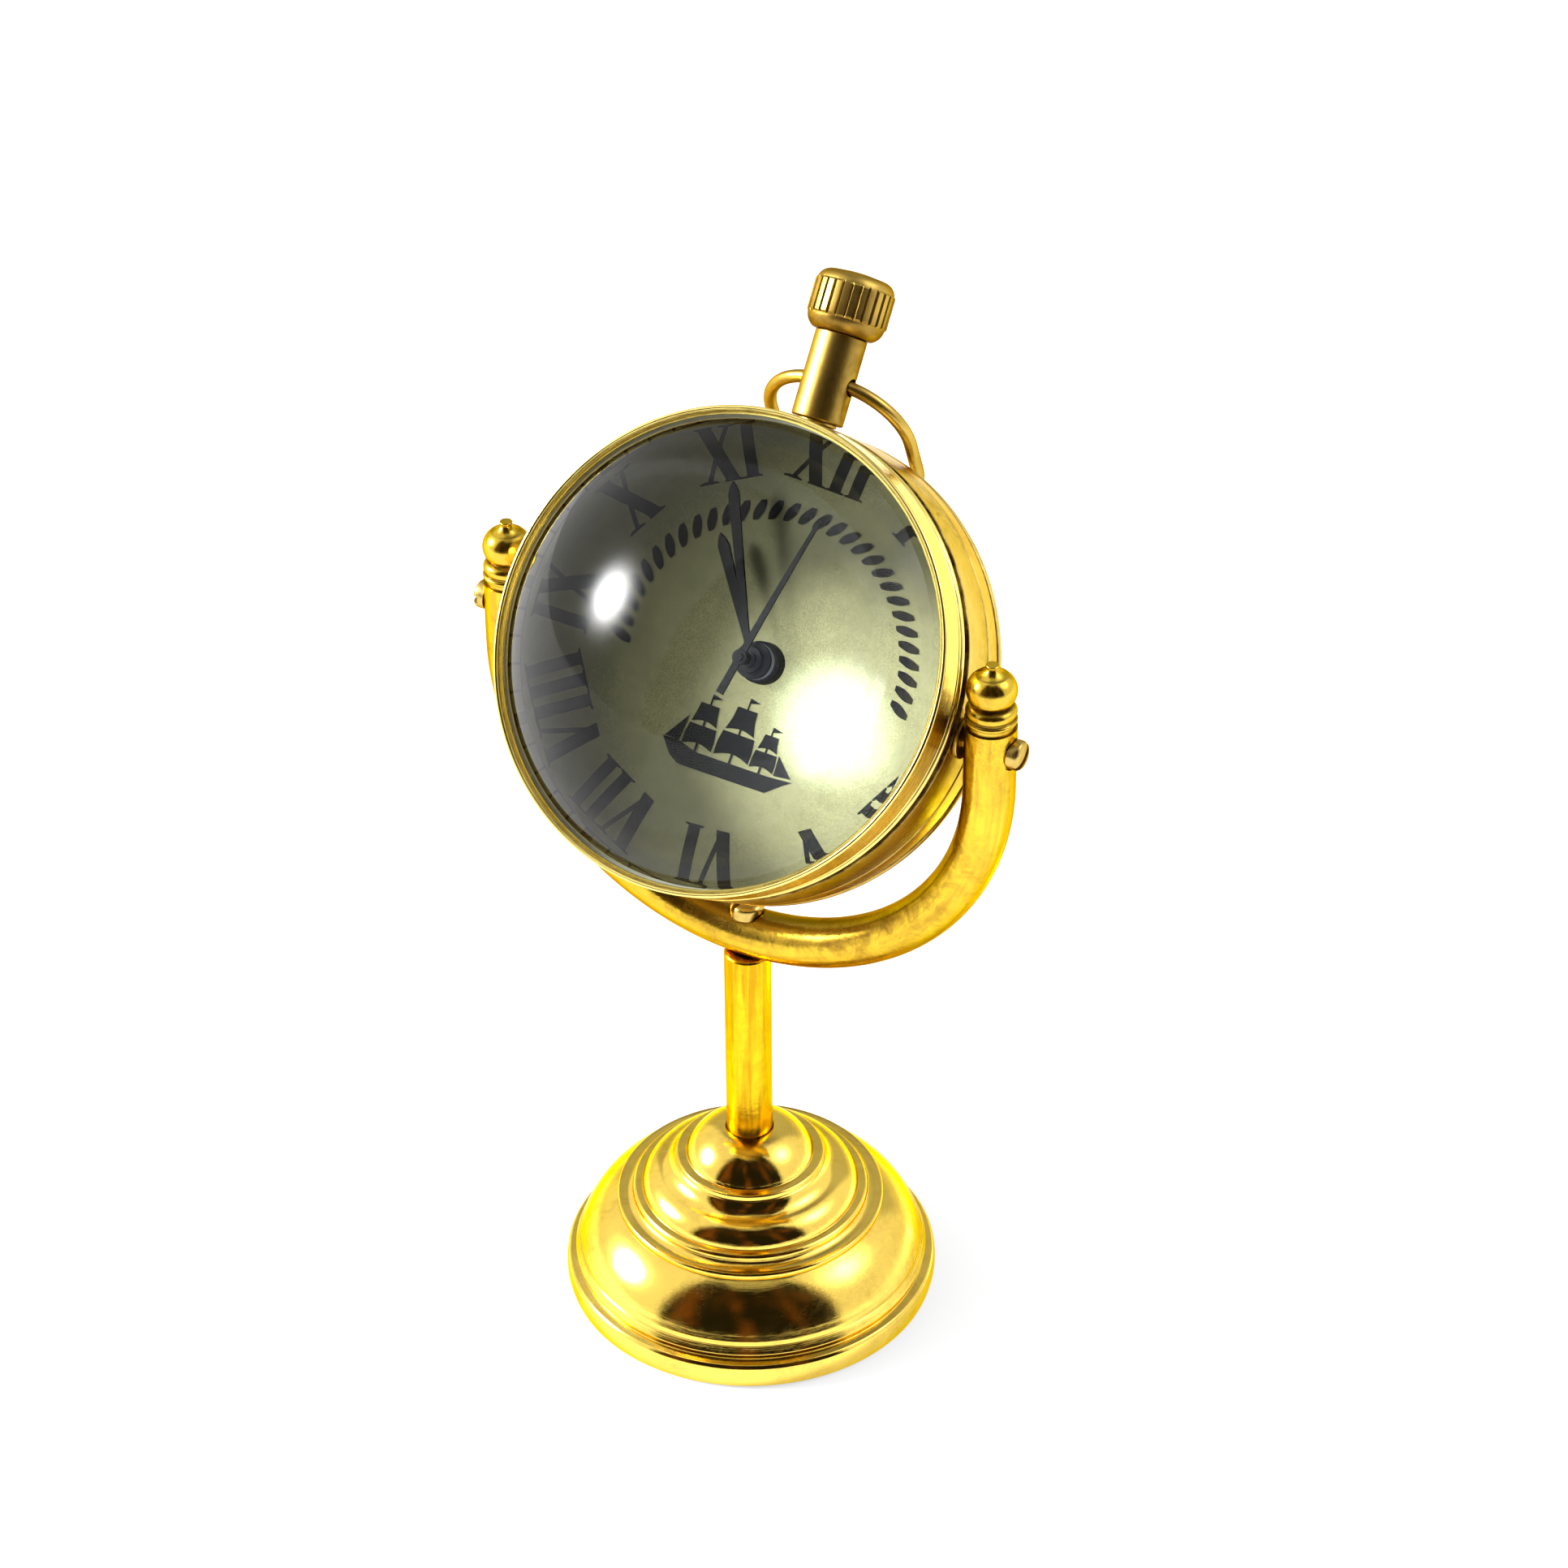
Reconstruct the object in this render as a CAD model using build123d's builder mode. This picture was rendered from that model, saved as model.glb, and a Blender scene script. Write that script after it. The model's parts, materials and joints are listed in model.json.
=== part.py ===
from build123d import *
import math
import os

os.makedirs("parts", exist_ok=True)

# Desk clock: a drum case with a thick domed glass tilts in a U-yoke on a post and a stepped round base.
# Millimetres, +Z up, origin at the centre of the underside. The dial looks towards -Y.

# ---- driving dimensions: stand ---------------------------------------------------------------------
BASE_RADIUS = 31.4          # widest ring of the base
BASE_TOP = 31.0             # top of the base, where the post enters
POST_RADIUS = 3.9
POST_FOOT = 29.5            # the post stands in a shallow seat in the base
ROD_RADIUS = 4.1            # round bar of the yoke
YOKE_RADIUS = 42.9          # centreline of the yoke's half circle, and half the span of its arms
YOKE_BOTTOM = 71.85         # height of the bar's centreline at the lowest point of the yoke
ARM_TOP = 126.0             # the arms end and the finials begin
PIVOT_HEIGHT = 122.0
BASE_BOLT_RADIUS = 2.5
YOKE_SCREW_RADIUS = 2.0
PIVOT_SCREW_RADIUS = 1.5

# ---- driving dimensions: case ----------------------------------------------------------------------
CASE_RADIUS = 38.0
CASE_LIFT = 2.1             # the case's centre sits this far above the pivot, along the dial's own up
TILT = 36.4                 # degrees the face leans back at rest
RUNNING_GAP = 0.06          # radial clearance of a turning fit
FIXED_GAP = 0.04            # radial clearance of a screw or pipe that doesn't turn in its hole

# Stations along the face normal, counted from the pivot plane.
GLASS_SAG = 18.0            # height of the glass dome above its rim
GLASS_RIM = 11.7
GLASS_FLAT = 6.0            # flat underside of the glass
GLASS_RADIUS = 36.9
DOME_RADIUS = 36.5          # radius of the dome where it meets the glass's edge
BEZEL_BACK = 4.4
BAND_FRONT = 3.2            # raised band round the drum
BAND_BACK = -5.0
DRUM_FRONT = 5.5
DRUM_BACK = -11.2
DRUM_OUTER = 36.6
DRUM_INNER = 33.4           # bore in front of the dial
DIAL_BORE = 34.3            # wider bore that takes the dial from behind
DIAL_FACE = -2.95           # printed side of the dial
PAPER_BACK = -3.1
DIAL_BACK = -3.7
MOVEMENT_BACK = -9.7
LID_BACK = -10.6
MOVEMENT_SIDE = 38.0
MOVEMENT_WALL = 1.2
COLLAR_RADIUS = 2.1         # threaded collar of the movement, through the dial

# Stem, crown and bow lie on one line, parallel to the dial's up.
STEM_STATION = 0.5          # station of the stem's centreline
STEM_RADIUS = 4.18
STEM_FOOT = 38.5            # distances along the dial's up, from the case's centre
STEM_TOP = 52.35
BOW_HOLE = 44.8
CROWN_FOOT = 52.45
KNURL_FOOT = 54.9
KNURL_TOP = 60.0
CROWN_TOP = 62.3
CROWN_RADIUS = 6.45
FLUTES = 28
SPINDLE_RADIUS = 1.5
WIRE_RADIUS = 1.05          # bow wire
BOW_HALF = 12.4             # half the bow's width, to the wire's centreline
BOW_LEAN = 31.0             # degrees the bow hangs below square to the stem at rest
BOW_ENTRY = 15.0            # degrees between the wire and the hole's axis where it enters the stem

# Hands, turned about the face normal from the dial's up to show four minutes to eleven.
HOUR_TURN = 32.5
MINUTE_TURN = 23.4
SECOND_TURN = -14.0
HOUR_TIP = 15.2
MINUTE_TIP = 21.2
SECOND_TIP = 19.4
SECOND_TAIL = 4.9
PIPE_RADIUS = 1.4           # hour pipe, minute arbor and second arbor run inside each other
ARBOR_RADIUS = 0.95
PIN_RADIUS = 0.45
HOUR_STATION = -1.15
MINUTE_STATION = -0.35
SECOND_STATION = 1.45

# ---- frames ----------------------------------------------------------------------------------------
tilt = math.radians(TILT)
RIGHT = Vector(1, 0, 0)
FACE_OUT = Vector(0, -math.cos(tilt), math.sin(tilt))
FACE_UP = Vector(0, math.sin(tilt), math.cos(tilt))
PIVOT = Vector(0, 0, PIVOT_HEIGHT)
CASE_CENTRE = PIVOT + FACE_UP * CASE_LIFT
STEM_BASE = CASE_CENTRE + FACE_OUT * STEM_STATION
FACE = Plane(origin=CASE_CENTRE, x_dir=RIGHT, z_dir=FACE_OUT)
CASE_SECTION = Plane(origin=CASE_CENTRE, x_dir=RIGHT, z_dir=FACE_UP * -1)    # x is radius, y is station
CASE_AXIS = Axis(CASE_CENTRE, FACE_OUT)
STEM_SECTION = Plane(origin=STEM_BASE, x_dir=RIGHT, z_dir=FACE_OUT)          # x is radius, y is height
STEM_AXIS = Axis(STEM_BASE, FACE_UP)
STEM_FLAT = Plane(origin=STEM_BASE, x_dir=RIGHT, z_dir=FACE_UP)              # square to the stem
ACROSS = Plane(origin=PIVOT, x_dir=(0, 1, 0), z_dir=RIGHT)                   # square to the pivot axis
BEND_CENTRE = YOKE_BOTTOM + YOKE_RADIUS

# ==== stand =========================================================================================
with BuildPart() as base:
    with BuildSketch(Plane.XZ):
        with BuildLine():
            # foot band, swelling slightly between two sharp edges
            foot = ThreePointArc((30.9, 0.4), (BASE_RADIUS, 1.6), (30.5, 4.7))
            # turned groove and fine beads under the big dome
            beads = Polyline(foot @ 1, (29.6, 5.0), (29.6, 5.7), (29.9, 6.1), (29.6, 6.6), (29.35, 7.3),
                             (29.1, 7.4), (29.05, 8.2), (28.75, 8.8))
            dome = ThreePointArc(beads @ 1, (26.25, 12.9), (22.35, 16.0))
            # thin ring, coved shelf and second ring
            ring = Polyline(dome @ 1, (22.5, 16.1), (22.5, 16.9), (22.2, 17.25))
            cove = ThreePointArc(ring @ 1, (21.0, 17.2), (20.1, 17.6))
            shelf = Polyline(cove @ 1, (19.9, 17.8), (19.8, 18.5), (19.4, 18.9), (18.3, 18.9))
            # second dome, turning into a hollow neck
            swell = ThreePointArc(shelf @ 1, (17.2, 21.05), (15.2, 22.35))
            neck = ThreePointArc(swell @ 1, (13.6, 23.2), (12.75, 24.5))
            step = Polyline(neck @ 1, (12.45, 24.7), (12.4, 25.4), (12.1, 25.6), (10.75, 25.6))
            # top dome, then the seat of the post and the bolt's clearance hole
            cap = ThreePointArc(step @ 1, (8.3, 29.2), (4.6, BASE_TOP))
            seat = Polyline(cap @ 1, (4.0, BASE_TOP), (4.0, POST_FOOT), (2.75, POST_FOOT), (2.75, 23.0))
            # hollow underside and the recess of the felt
            Polyline(seat @ 1, (9.0, 23.0), (14.0, 18.0), (18.5, 14.2), (25.0, 8.0), (26.6, 1.2),
                     (29.8, 1.2), (29.8, 0.4), foot @ 0)
        make_face()
    revolve(axis=Axis.Z)
base.part.label = "base"
export_step(base.part, "parts/base.step")

with BuildPart() as felt_pad:
    with BuildSketch(Plane.XY):
        Circle(29.7)
    extrude(amount=1.15)
felt_pad.part.label = "felt_pad"
export_step(felt_pad.part, "parts/felt_pad.step")

with BuildPart() as base_washer:
    with BuildSketch(Plane.XY.offset(22.0)):
        Circle(6.5)
        Circle(2.7, mode=Mode.SUBTRACT)
    extrude(amount=1.0)
base_washer.part.label = "base_washer"
export_step(base_washer.part, "parts/base_washer.step")

with BuildPart() as base_bolt:
    with BuildSketch(Plane.XY.offset(18.5)):
        RegularPolygon(radius=4.6, side_count=6)
    extrude(amount=3.5)
    chamfer(base_bolt.edges().group_by(Axis.Z)[0], length=0.4)
    with BuildSketch(Plane.XY.offset(22.0)):
        Circle(BASE_BOLT_RADIUS)
    extrude(amount=19.0)
base_bolt.part.label = "base_bolt"
export_step(base_bolt.part, "parts/base_bolt.step")

# The post is tapped at both ends. Its flat top touches the underside of the yoke.
with BuildPart() as post:
    with BuildSketch(Plane.XY.offset(POST_FOOT)):
        Circle(POST_RADIUS)
    extrude(amount=YOKE_BOTTOM - ROD_RADIUS - POST_FOOT)
    chamfer(post.edges().group_by(Axis.Z)[-1], length=0.25)
    with BuildSketch(Plane.XY.offset(POST_FOOT)):
        Circle(BASE_BOLT_RADIUS + FIXED_GAP)
    extrude(amount=13.0, mode=Mode.SUBTRACT)
    with BuildSketch(Plane.XY.offset(55.0)):
        Circle(YOKE_SCREW_RADIUS + FIXED_GAP)
    extrude(amount=15.0, mode=Mode.SUBTRACT)
post.part.label = "post"
export_step(post.part, "parts/post.step")

YOKE_SEAT = YOKE_BOTTOM + 3.5       # flat seat of the screw in the bottom of the yoke
PIVOT_SEAT = YOKE_RADIUS + 3.6      # flat seats of the pivot screws on the outside of the arms
with BuildPart() as yoke:
    with BuildLine(Plane.XZ):
        left_arm = Line((-YOKE_RADIUS, ARM_TOP), (-YOKE_RADIUS, BEND_CENTRE))
        bend = ThreePointArc(left_arm @ 1, (0, YOKE_BOTTOM), (YOKE_RADIUS, BEND_CENTRE))
        Line(bend @ 1, (YOKE_RADIUS, ARM_TOP))
    with BuildSketch(Plane.XY.offset(ARM_TOP)):
        with Locations((-YOKE_RADIUS, 0)):
            Circle(ROD_RADIUS)
    sweep()
    # bores and seats of the pivot screws
    with BuildSketch(ACROSS):
        Circle(PIVOT_SCREW_RADIUS + RUNNING_GAP)
    extrude(amount=YOKE_RADIUS + 10.0, both=True, mode=Mode.SUBTRACT)
    with BuildSketch(ACROSS.offset(PIVOT_SEAT)):
        Circle(2.7)
    extrude(amount=3.0, mode=Mode.SUBTRACT)
    with BuildSketch(ACROSS.offset(-PIVOT_SEAT)):
        Circle(2.7)
    extrude(amount=-3.0, mode=Mode.SUBTRACT)
    # hole and seat of the screw that holds the yoke on the post
    with BuildSketch(Plane.XY.offset(YOKE_BOTTOM - 6.0)):
        Circle(YOKE_SCREW_RADIUS + FIXED_GAP)
    extrude(amount=12.0, mode=Mode.SUBTRACT)
    with BuildSketch(Plane.XY.offset(YOKE_SEAT)):
        Circle(3.0)
    extrude(amount=3.0, mode=Mode.SUBTRACT)
    # holes for the finials' pegs
    with BuildSketch(Plane.XY.offset(ARM_TOP)):
        with Locations((-YOKE_RADIUS, 0), (YOKE_RADIUS, 0)):
            Circle(2.0 + FIXED_GAP)
    extrude(amount=-2.1, mode=Mode.SUBTRACT)
yoke.part.label = "yoke"
export_step(yoke.part, "parts/yoke.step")

with BuildPart() as yoke_screw:
    with BuildSketch(Plane.XY.offset(56.0)):
        Circle(YOKE_SCREW_RADIUS)
    extrude(amount=YOKE_SEAT - 56.0)
    with BuildSketch(Plane.XY.offset(YOKE_SEAT)):
        Circle(2.8)
    extrude(amount=2.7)
    fillet(yoke_screw.edges().group_by(Axis.Z)[-1], radius=1.7)
    with BuildSketch(Plane.XY.offset(YOKE_SEAT + 1.5)):
        Rectangle(7.0, 0.8, rotation=62)
    extrude(amount=2.0, mode=Mode.SUBTRACT)
yoke_screw.part.label = "yoke_screw"
export_step(yoke_screw.part, "parts/yoke_screw.step")

# Onion finials: peg, groove, thin ring, fat ring, neck, onion and nipple.
for finial_name, finial_x in (("finial_left", -YOKE_RADIUS), ("finial_right", YOKE_RADIUS)):
    with BuildPart() as finial:
        with BuildSketch(Plane(origin=(finial_x, 0, ARM_TOP), x_dir=(1, 0, 0), z_dir=(0, -1, 0))):
            with BuildLine():
                peg = Polyline((0, 11.0), (0, -2.0), (2.0, -2.0), (2.0, 0), (3.75, 0), (3.75, 1.0))
                thin_ring = ThreePointArc(peg @ 1, (4.1, 1.4), (3.75, 1.8))
                fat_ring = ThreePointArc(thin_ring @ 1, (3.98, 2.95), (2.9, 4.0))
                onion = ThreePointArc(fat_ring @ 1, (3.95, 6.7), (2.5, 9.1))
                flare = ThreePointArc(onion @ 1, (1.35, 9.75), (0.85, 10.45))
                Polyline(flare @ 1, (1.05, 10.65), (1.05, 10.9), (0.95, 11.0), (0, 11.0))
            make_face()
        revolve(axis=Axis((finial_x, 0, 0), (0, 0, 1)))
    finial.part.label = finial_name
    export_step(finial.part, f"parts/{finial_name}.step")

# ==== case ==========================================================================================
with BuildPart() as case_drum:
    with BuildSketch(CASE_SECTION):
        with BuildLine():
            Polyline((DRUM_INNER, DRUM_FRONT), (DRUM_OUTER, DRUM_FRONT), (DRUM_OUTER, BAND_FRONT),
                     (37.8, BAND_FRONT), (CASE_RADIUS, BAND_FRONT - 0.2), (CASE_RADIUS, BAND_BACK + 0.2),
                     (37.8, BAND_BACK), (DRUM_OUTER, BAND_BACK), (DRUM_OUTER, DRUM_BACK),
                     (DIAL_BORE, DRUM_BACK), (DIAL_BORE, DIAL_FACE + 0.05), (DRUM_INNER, DIAL_FACE + 0.05),
                     close=True)
        make_face()
    revolve(axis=CASE_AXIS)
    # tapped holes of the two pivot screws
    with BuildSketch(ACROSS):
        Circle(PIVOT_SCREW_RADIUS + FIXED_GAP)
    extrude(amount=CASE_RADIUS + 2.0, both=True, mode=Mode.SUBTRACT)
    # hole of the stem's screw
    with BuildSketch(STEM_FLAT.offset(30.0)):
        Circle(SPINDLE_RADIUS + FIXED_GAP)
    extrude(amount=10.0, mode=Mode.SUBTRACT)
case_drum.part.label = "case_drum"
export_step(case_drum.part, "parts/case_drum.step")

with BuildPart() as front_bezel:
    with BuildSketch(CASE_SECTION):
        with BuildLine():
            inside = Polyline((36.66, BEZEL_BACK), (36.66, 5.9), (37.0, 5.9), (37.0, 11.5), (36.62, 11.9),
                              (36.66, 12.2), (37.35, 12.85))
            nose = ThreePointArc(inside @ 1, (37.85, 12.85), (CASE_RADIUS, 12.4))
            lines = Polyline(nose @ 1, (CASE_RADIUS, 7.5), (37.7, 7.3), (37.7, 7.0), (37.9, 6.85),
                             (37.9, 6.45), (37.55, 6.3), (37.55, 5.8), (37.75, 5.65))
            bead = ThreePointArc(lines @ 1, (37.98, 5.15), (37.75, 4.65))
            Polyline(bead @ 1, (37.5, BEZEL_BACK), (36.66, BEZEL_BACK))
        make_face()
    revolve(axis=CASE_AXIS)
front_bezel.part.label = "front_bezel"
export_step(front_bezel.part, "parts/front_bezel.step")

# Thick glass: flat underside, straight edge and a spherical dome.
dome_sphere = (DOME_RADIUS ** 2 + GLASS_SAG ** 2) / (2 * GLASS_SAG)
dome_half_angle = math.asin(DOME_RADIUS / dome_sphere) / 2
dome_middle = (dome_sphere * math.sin(dome_half_angle),
               GLASS_RIM + GLASS_SAG - dome_sphere * (1 - math.cos(dome_half_angle)))
with BuildPart() as lens:
    with BuildSketch(CASE_SECTION):
        with BuildLine():
            glass_edge = Polyline((0, GLASS_FLAT), (36.2, GLASS_FLAT), (GLASS_RADIUS, GLASS_FLAT + 0.7),
                                  (GLASS_RADIUS, GLASS_RIM - 0.4), (DOME_RADIUS, GLASS_RIM))
            glass_dome = ThreePointArc(glass_edge @ 1, dome_middle, (0, GLASS_RIM + GLASS_SAG))
            Line(glass_dome @ 1, glass_edge @ 0)
        make_face()
    revolve(axis=CASE_AXIS)
lens.part.label = "lens"
export_step(lens.part, "parts/lens.step")

with BuildPart() as lens_gasket:
    with BuildSketch(FACE.offset(DRUM_FRONT)):
        Circle(36.0)
        Circle(33.8, mode=Mode.SUBTRACT)
    extrude(amount=GLASS_FLAT - DRUM_FRONT)
lens_gasket.part.label = "lens_gasket"
export_step(lens_gasket.part, "parts/lens_gasket.step")

with BuildPart() as dial_paper:
    with BuildSketch(FACE.offset(PAPER_BACK)):
        Circle(34.2)
        Circle(COLLAR_RADIUS + 0.1, mode=Mode.SUBTRACT)
    extrude(amount=DIAL_FACE - PAPER_BACK)
dial_paper.part.label = "dial_paper"
export_step(dial_paper.part, "parts/dial_paper.step")

with BuildPart() as dial_plate:
    with BuildSketch(FACE.offset(DIAL_BACK)):
        Circle(34.2)
        Circle(COLLAR_RADIUS + 0.1, mode=Mode.SUBTRACT)
    extrude(amount=PAPER_BACK - DIAL_BACK)
dial_plate.part.label = "dial_plate"
export_step(dial_plate.part, "parts/dial_plate.step")

with BuildPart() as retaining_ring:
    with BuildSketch(FACE.offset(DIAL_BACK - 1.6)):
        Circle(34.2)
        Circle(31.0, mode=Mode.SUBTRACT)
    extrude(amount=1.6)
retaining_ring.part.label = "retaining_ring"
export_step(retaining_ring.part, "parts/retaining_ring.step")

# ==== movement ======================================================================================
KNOB_PLACE = (8.4, -7.0)            # setting knob, from the case's centre
BATTERY_PLACE = (-9.5, -9.0)
BATTERY_RADIUS = 5.8
with BuildPart() as movement_housing:
    with BuildSketch(FACE.offset(MOVEMENT_BACK)):
        RectangleRounded(MOVEMENT_SIDE, MOVEMENT_SIDE, 5.0)
    extrude(amount=DIAL_BACK - MOVEMENT_BACK)
    with BuildSketch(FACE.offset(MOVEMENT_BACK)):
        RectangleRounded(MOVEMENT_SIDE - 2 * MOVEMENT_WALL, MOVEMENT_SIDE - 2 * MOVEMENT_WALL, 3.8)
    extrude(amount=DIAL_BACK - MOVEMENT_BACK - MOVEMENT_WALL, mode=Mode.SUBTRACT)
    with BuildSketch(FACE.offset(DIAL_BACK)):
        Circle(COLLAR_RADIUS)
    extrude(amount=2.1)
    with BuildSketch(FACE.offset(MOVEMENT_BACK)):
        Circle(PIPE_RADIUS + RUNNING_GAP)
    extrude(amount=10.0, mode=Mode.SUBTRACT)
movement_housing.part.label = "movement_housing"
export_step(movement_housing.part, "parts/movement_housing.step")

with BuildPart() as movement_lid:
    with BuildSketch(FACE.offset(LID_BACK)):
        RectangleRounded(MOVEMENT_SIDE, MOVEMENT_SIDE, 5.0)
        with Locations(KNOB_PLACE):
            Circle(1.1 + RUNNING_GAP, mode=Mode.SUBTRACT)
        with Locations(BATTERY_PLACE):
            Circle(BATTERY_RADIUS + 0.3, mode=Mode.SUBTRACT)
    extrude(amount=MOVEMENT_BACK - LID_BACK)
movement_lid.part.label = "movement_lid"
export_step(movement_lid.part, "parts/movement_lid.step")

with BuildPart() as battery:
    with BuildSketch(FACE.offset(LID_BACK + 0.2)):
        with Locations(BATTERY_PLACE):
            Circle(BATTERY_RADIUS)
    extrude(amount=4.2)
    fillet(battery.edges().sort_by(Axis(CASE_CENTRE, FACE_OUT))[0], radius=0.5)
battery.part.label = "battery"
export_step(battery.part, "parts/battery.step")

with BuildPart() as battery_clip:
    with BuildSketch(FACE.offset(LID_BACK + 4.45)):
        with Locations(BATTERY_PLACE):
            Circle(4.5)
            Rectangle(13.0, 2.4)
    extrude(amount=0.4)
battery_clip.part.label = "battery_clip"
export_step(battery_clip.part, "parts/battery_clip.step")

with BuildPart() as circuit_board:
    with BuildSketch(FACE.offset(-6.6)):
        with Locations((10.0, 6.0)):
            RectangleRounded(12.0, 18.0, 1.0)
    extrude(amount=1.0)
circuit_board.part.label = "circuit_board"
export_step(circuit_board.part, "parts/circuit_board.step")

# The coil's core is a bar that passes through its bobbin.
COIL_PLACE = CASE_CENTRE + FACE_OUT * -7.2 + FACE_UP * 12.0
COIL_SECTION = Plane(origin=COIL_PLACE, x_dir=FACE_UP, z_dir=RIGHT)
with BuildPart() as coil_core:
    with BuildSketch(COIL_SECTION.offset(-14.5)):
        Rectangle(1.5, 1.5)
    extrude(amount=16.5)
coil_core.part.label = "coil_core"
export_step(coil_core.part, "parts/coil_core.step")

with BuildPart() as coil:
    with BuildSketch(COIL_SECTION.offset(-13.0)):
        Circle(2.2)
        Circle(1.15, mode=Mode.SUBTRACT)
    extrude(amount=13.5)
coil.part.label = "coil"
export_step(coil.part, "parts/coil.step")

with BuildPart() as movement_nut:
    with BuildSketch(FACE.offset(DIAL_FACE)):
        RegularPolygon(radius=2.95, side_count=6)
        Circle(COLLAR_RADIUS + FIXED_GAP, mode=Mode.SUBTRACT)
    extrude(amount=1.2)
movement_nut.part.label = "movement_nut"
export_step(movement_nut.part, "parts/movement_nut.step")

# ==== hands =========================================================================================
def hand_plane(station, turn):
    """Plane of a hand: its y axis points along the hand."""
    angle = math.radians(turn)
    across = RIGHT * math.cos(angle) + FACE_UP * math.sin(angle)
    return Plane(origin=CASE_CENTRE + FACE_OUT * station, x_dir=across, z_dir=FACE_OUT)


def baton(tip, wide, wide_at, narrow):
    """Outline of a hand that widens from the boss to a short point."""
    return [(-narrow, 0), (-wide, wide_at), (0, tip), (wide, wide_at), (narrow, 0)]


with BuildPart() as hour_pipe:
    with BuildSketch(FACE.offset(-6.4)):
        Circle(PIPE_RADIUS)
        Circle(ARBOR_RADIUS + RUNNING_GAP, mode=Mode.SUBTRACT)
    extrude(amount=5.7)
hour_pipe.part.label = "hour_pipe"
export_step(hour_pipe.part, "parts/hour_pipe.step")

with BuildPart() as hour_hand:
    with BuildSketch(hand_plane(HOUR_STATION, HOUR_TURN)):
        Circle(2.15)
        with BuildLine():
            Polyline(*baton(HOUR_TIP, 0.66, 13.7, 0.35), close=True)
        make_face()
        Circle(PIPE_RADIUS + 0.02, mode=Mode.SUBTRACT)
    extrude(amount=0.35)
hour_hand.part.label = "hour_hand"
export_step(hour_hand.part, "parts/hour_hand.step")

with BuildPart() as minute_arbor:
    with BuildSketch(FACE.offset(-8.4)):
        Circle(ARBOR_RADIUS)
        Circle(PIN_RADIUS + RUNNING_GAP, mode=Mode.SUBTRACT)
    extrude(amount=8.55)
minute_arbor.part.label = "minute_arbor"
export_step(minute_arbor.part, "parts/minute_arbor.step")

with BuildPart() as minute_hand:
    with BuildSketch(hand_plane(MINUTE_STATION, MINUTE_TURN)):
        Circle(1.6)
        with BuildLine():
            Polyline(*baton(MINUTE_TIP, 0.66, 19.6, 0.3), close=True)
        make_face()
        Circle(ARBOR_RADIUS + 0.02, mode=Mode.SUBTRACT)
    extrude(amount=0.3)
minute_hand.part.label = "minute_hand"
export_step(minute_hand.part, "parts/minute_hand.step")

with BuildPart() as second_arbor:
    with BuildSketch(FACE.offset(-9.3)):
        Circle(PIN_RADIUS)
    extrude(amount=11.15)
second_arbor.part.label = "second_arbor"
export_step(second_arbor.part, "parts/second_arbor.step")

with BuildPart() as second_hand:
    with BuildSketch(hand_plane(SECOND_STATION, SECOND_TURN)):
        Circle(0.95)
        with BuildLine():
            Polyline((-0.47, -SECOND_TAIL), (-0.23, SECOND_TIP), (0.23, SECOND_TIP), (0.47, -SECOND_TAIL),
                     close=True)
        make_face()
        Circle(PIN_RADIUS + 0.02, mode=Mode.SUBTRACT)
    extrude(amount=0.25)
    with BuildSketch(FACE.offset(SECOND_STATION)):
        Circle(0.8)
        Circle(PIN_RADIUS + 0.02, mode=Mode.SUBTRACT)
    extrude(amount=-0.9)
second_hand.part.label = "second_hand"
export_step(second_hand.part, "parts/second_hand.step")

with BuildPart() as set_knob:
    with BuildSketch(FACE.offset(-9.0)):
        with Locations(KNOB_PLACE):
            Circle(1.1)
    extrude(amount=-1.8)
    with BuildSketch(FACE.offset(-10.75)):
        with Locations(KNOB_PLACE):
            Circle(3.4)
            with PolarLocations(3.55, 24):
                Circle(0.3, mode=Mode.SUBTRACT)
    extrude(amount=-1.3)
set_knob.part.label = "set_knob"
export_step(set_knob.part, "parts/set_knob.step")

# ==== back cover ====================================================================================
with BuildPart() as back_cover:
    with BuildSketch(CASE_SECTION):
        with BuildLine():
            skirt = Polyline((36.68, -11.6), (36.68, -5.35), (37.6, -5.35), (37.9, -5.65), (37.9, -9.2),
                             (37.45, -9.4), (37.45, -10.1), (37.75, -10.3))
            heel = ThreePointArc(skirt @ 1, (CASE_RADIUS, -10.8), (37.5, -11.7))
            rim = Polyline(heel @ 1, (36.4, -12.1), (35.6, -12.2), (35.3, -12.6))
            outer_dome = ThreePointArc(rim @ 1, (18.0, -14.5), (0, -15.1))
            middle = Line(outer_dome @ 1, (0, -14.1))
            inner_dome = ThreePointArc(middle @ 1, (17.0, -13.5), (33.4, -11.8))
            Polyline(inner_dome @ 1, (33.4, -11.6), (36.68, -11.6))
        make_face()
    revolve(axis=CASE_AXIS)
    # two blind holes for the case key
    with BuildSketch(FACE.offset(-16.0)):
        with Locations((0, -25.0), (0, 25.0)):
            Circle(1.1)
    extrude(amount=2.5, mode=Mode.SUBTRACT)
back_cover.part.label = "back_cover"
export_step(back_cover.part, "parts/back_cover.step")

with BuildPart() as back_gasket:
    with BuildSketch(FACE.offset(-11.6)):
        Circle(36.4)
        Circle(34.5, mode=Mode.SUBTRACT)
    extrude(amount=0.3)
back_gasket.part.label = "back_gasket"
export_step(back_gasket.part, "parts/back_gasket.step")

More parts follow.
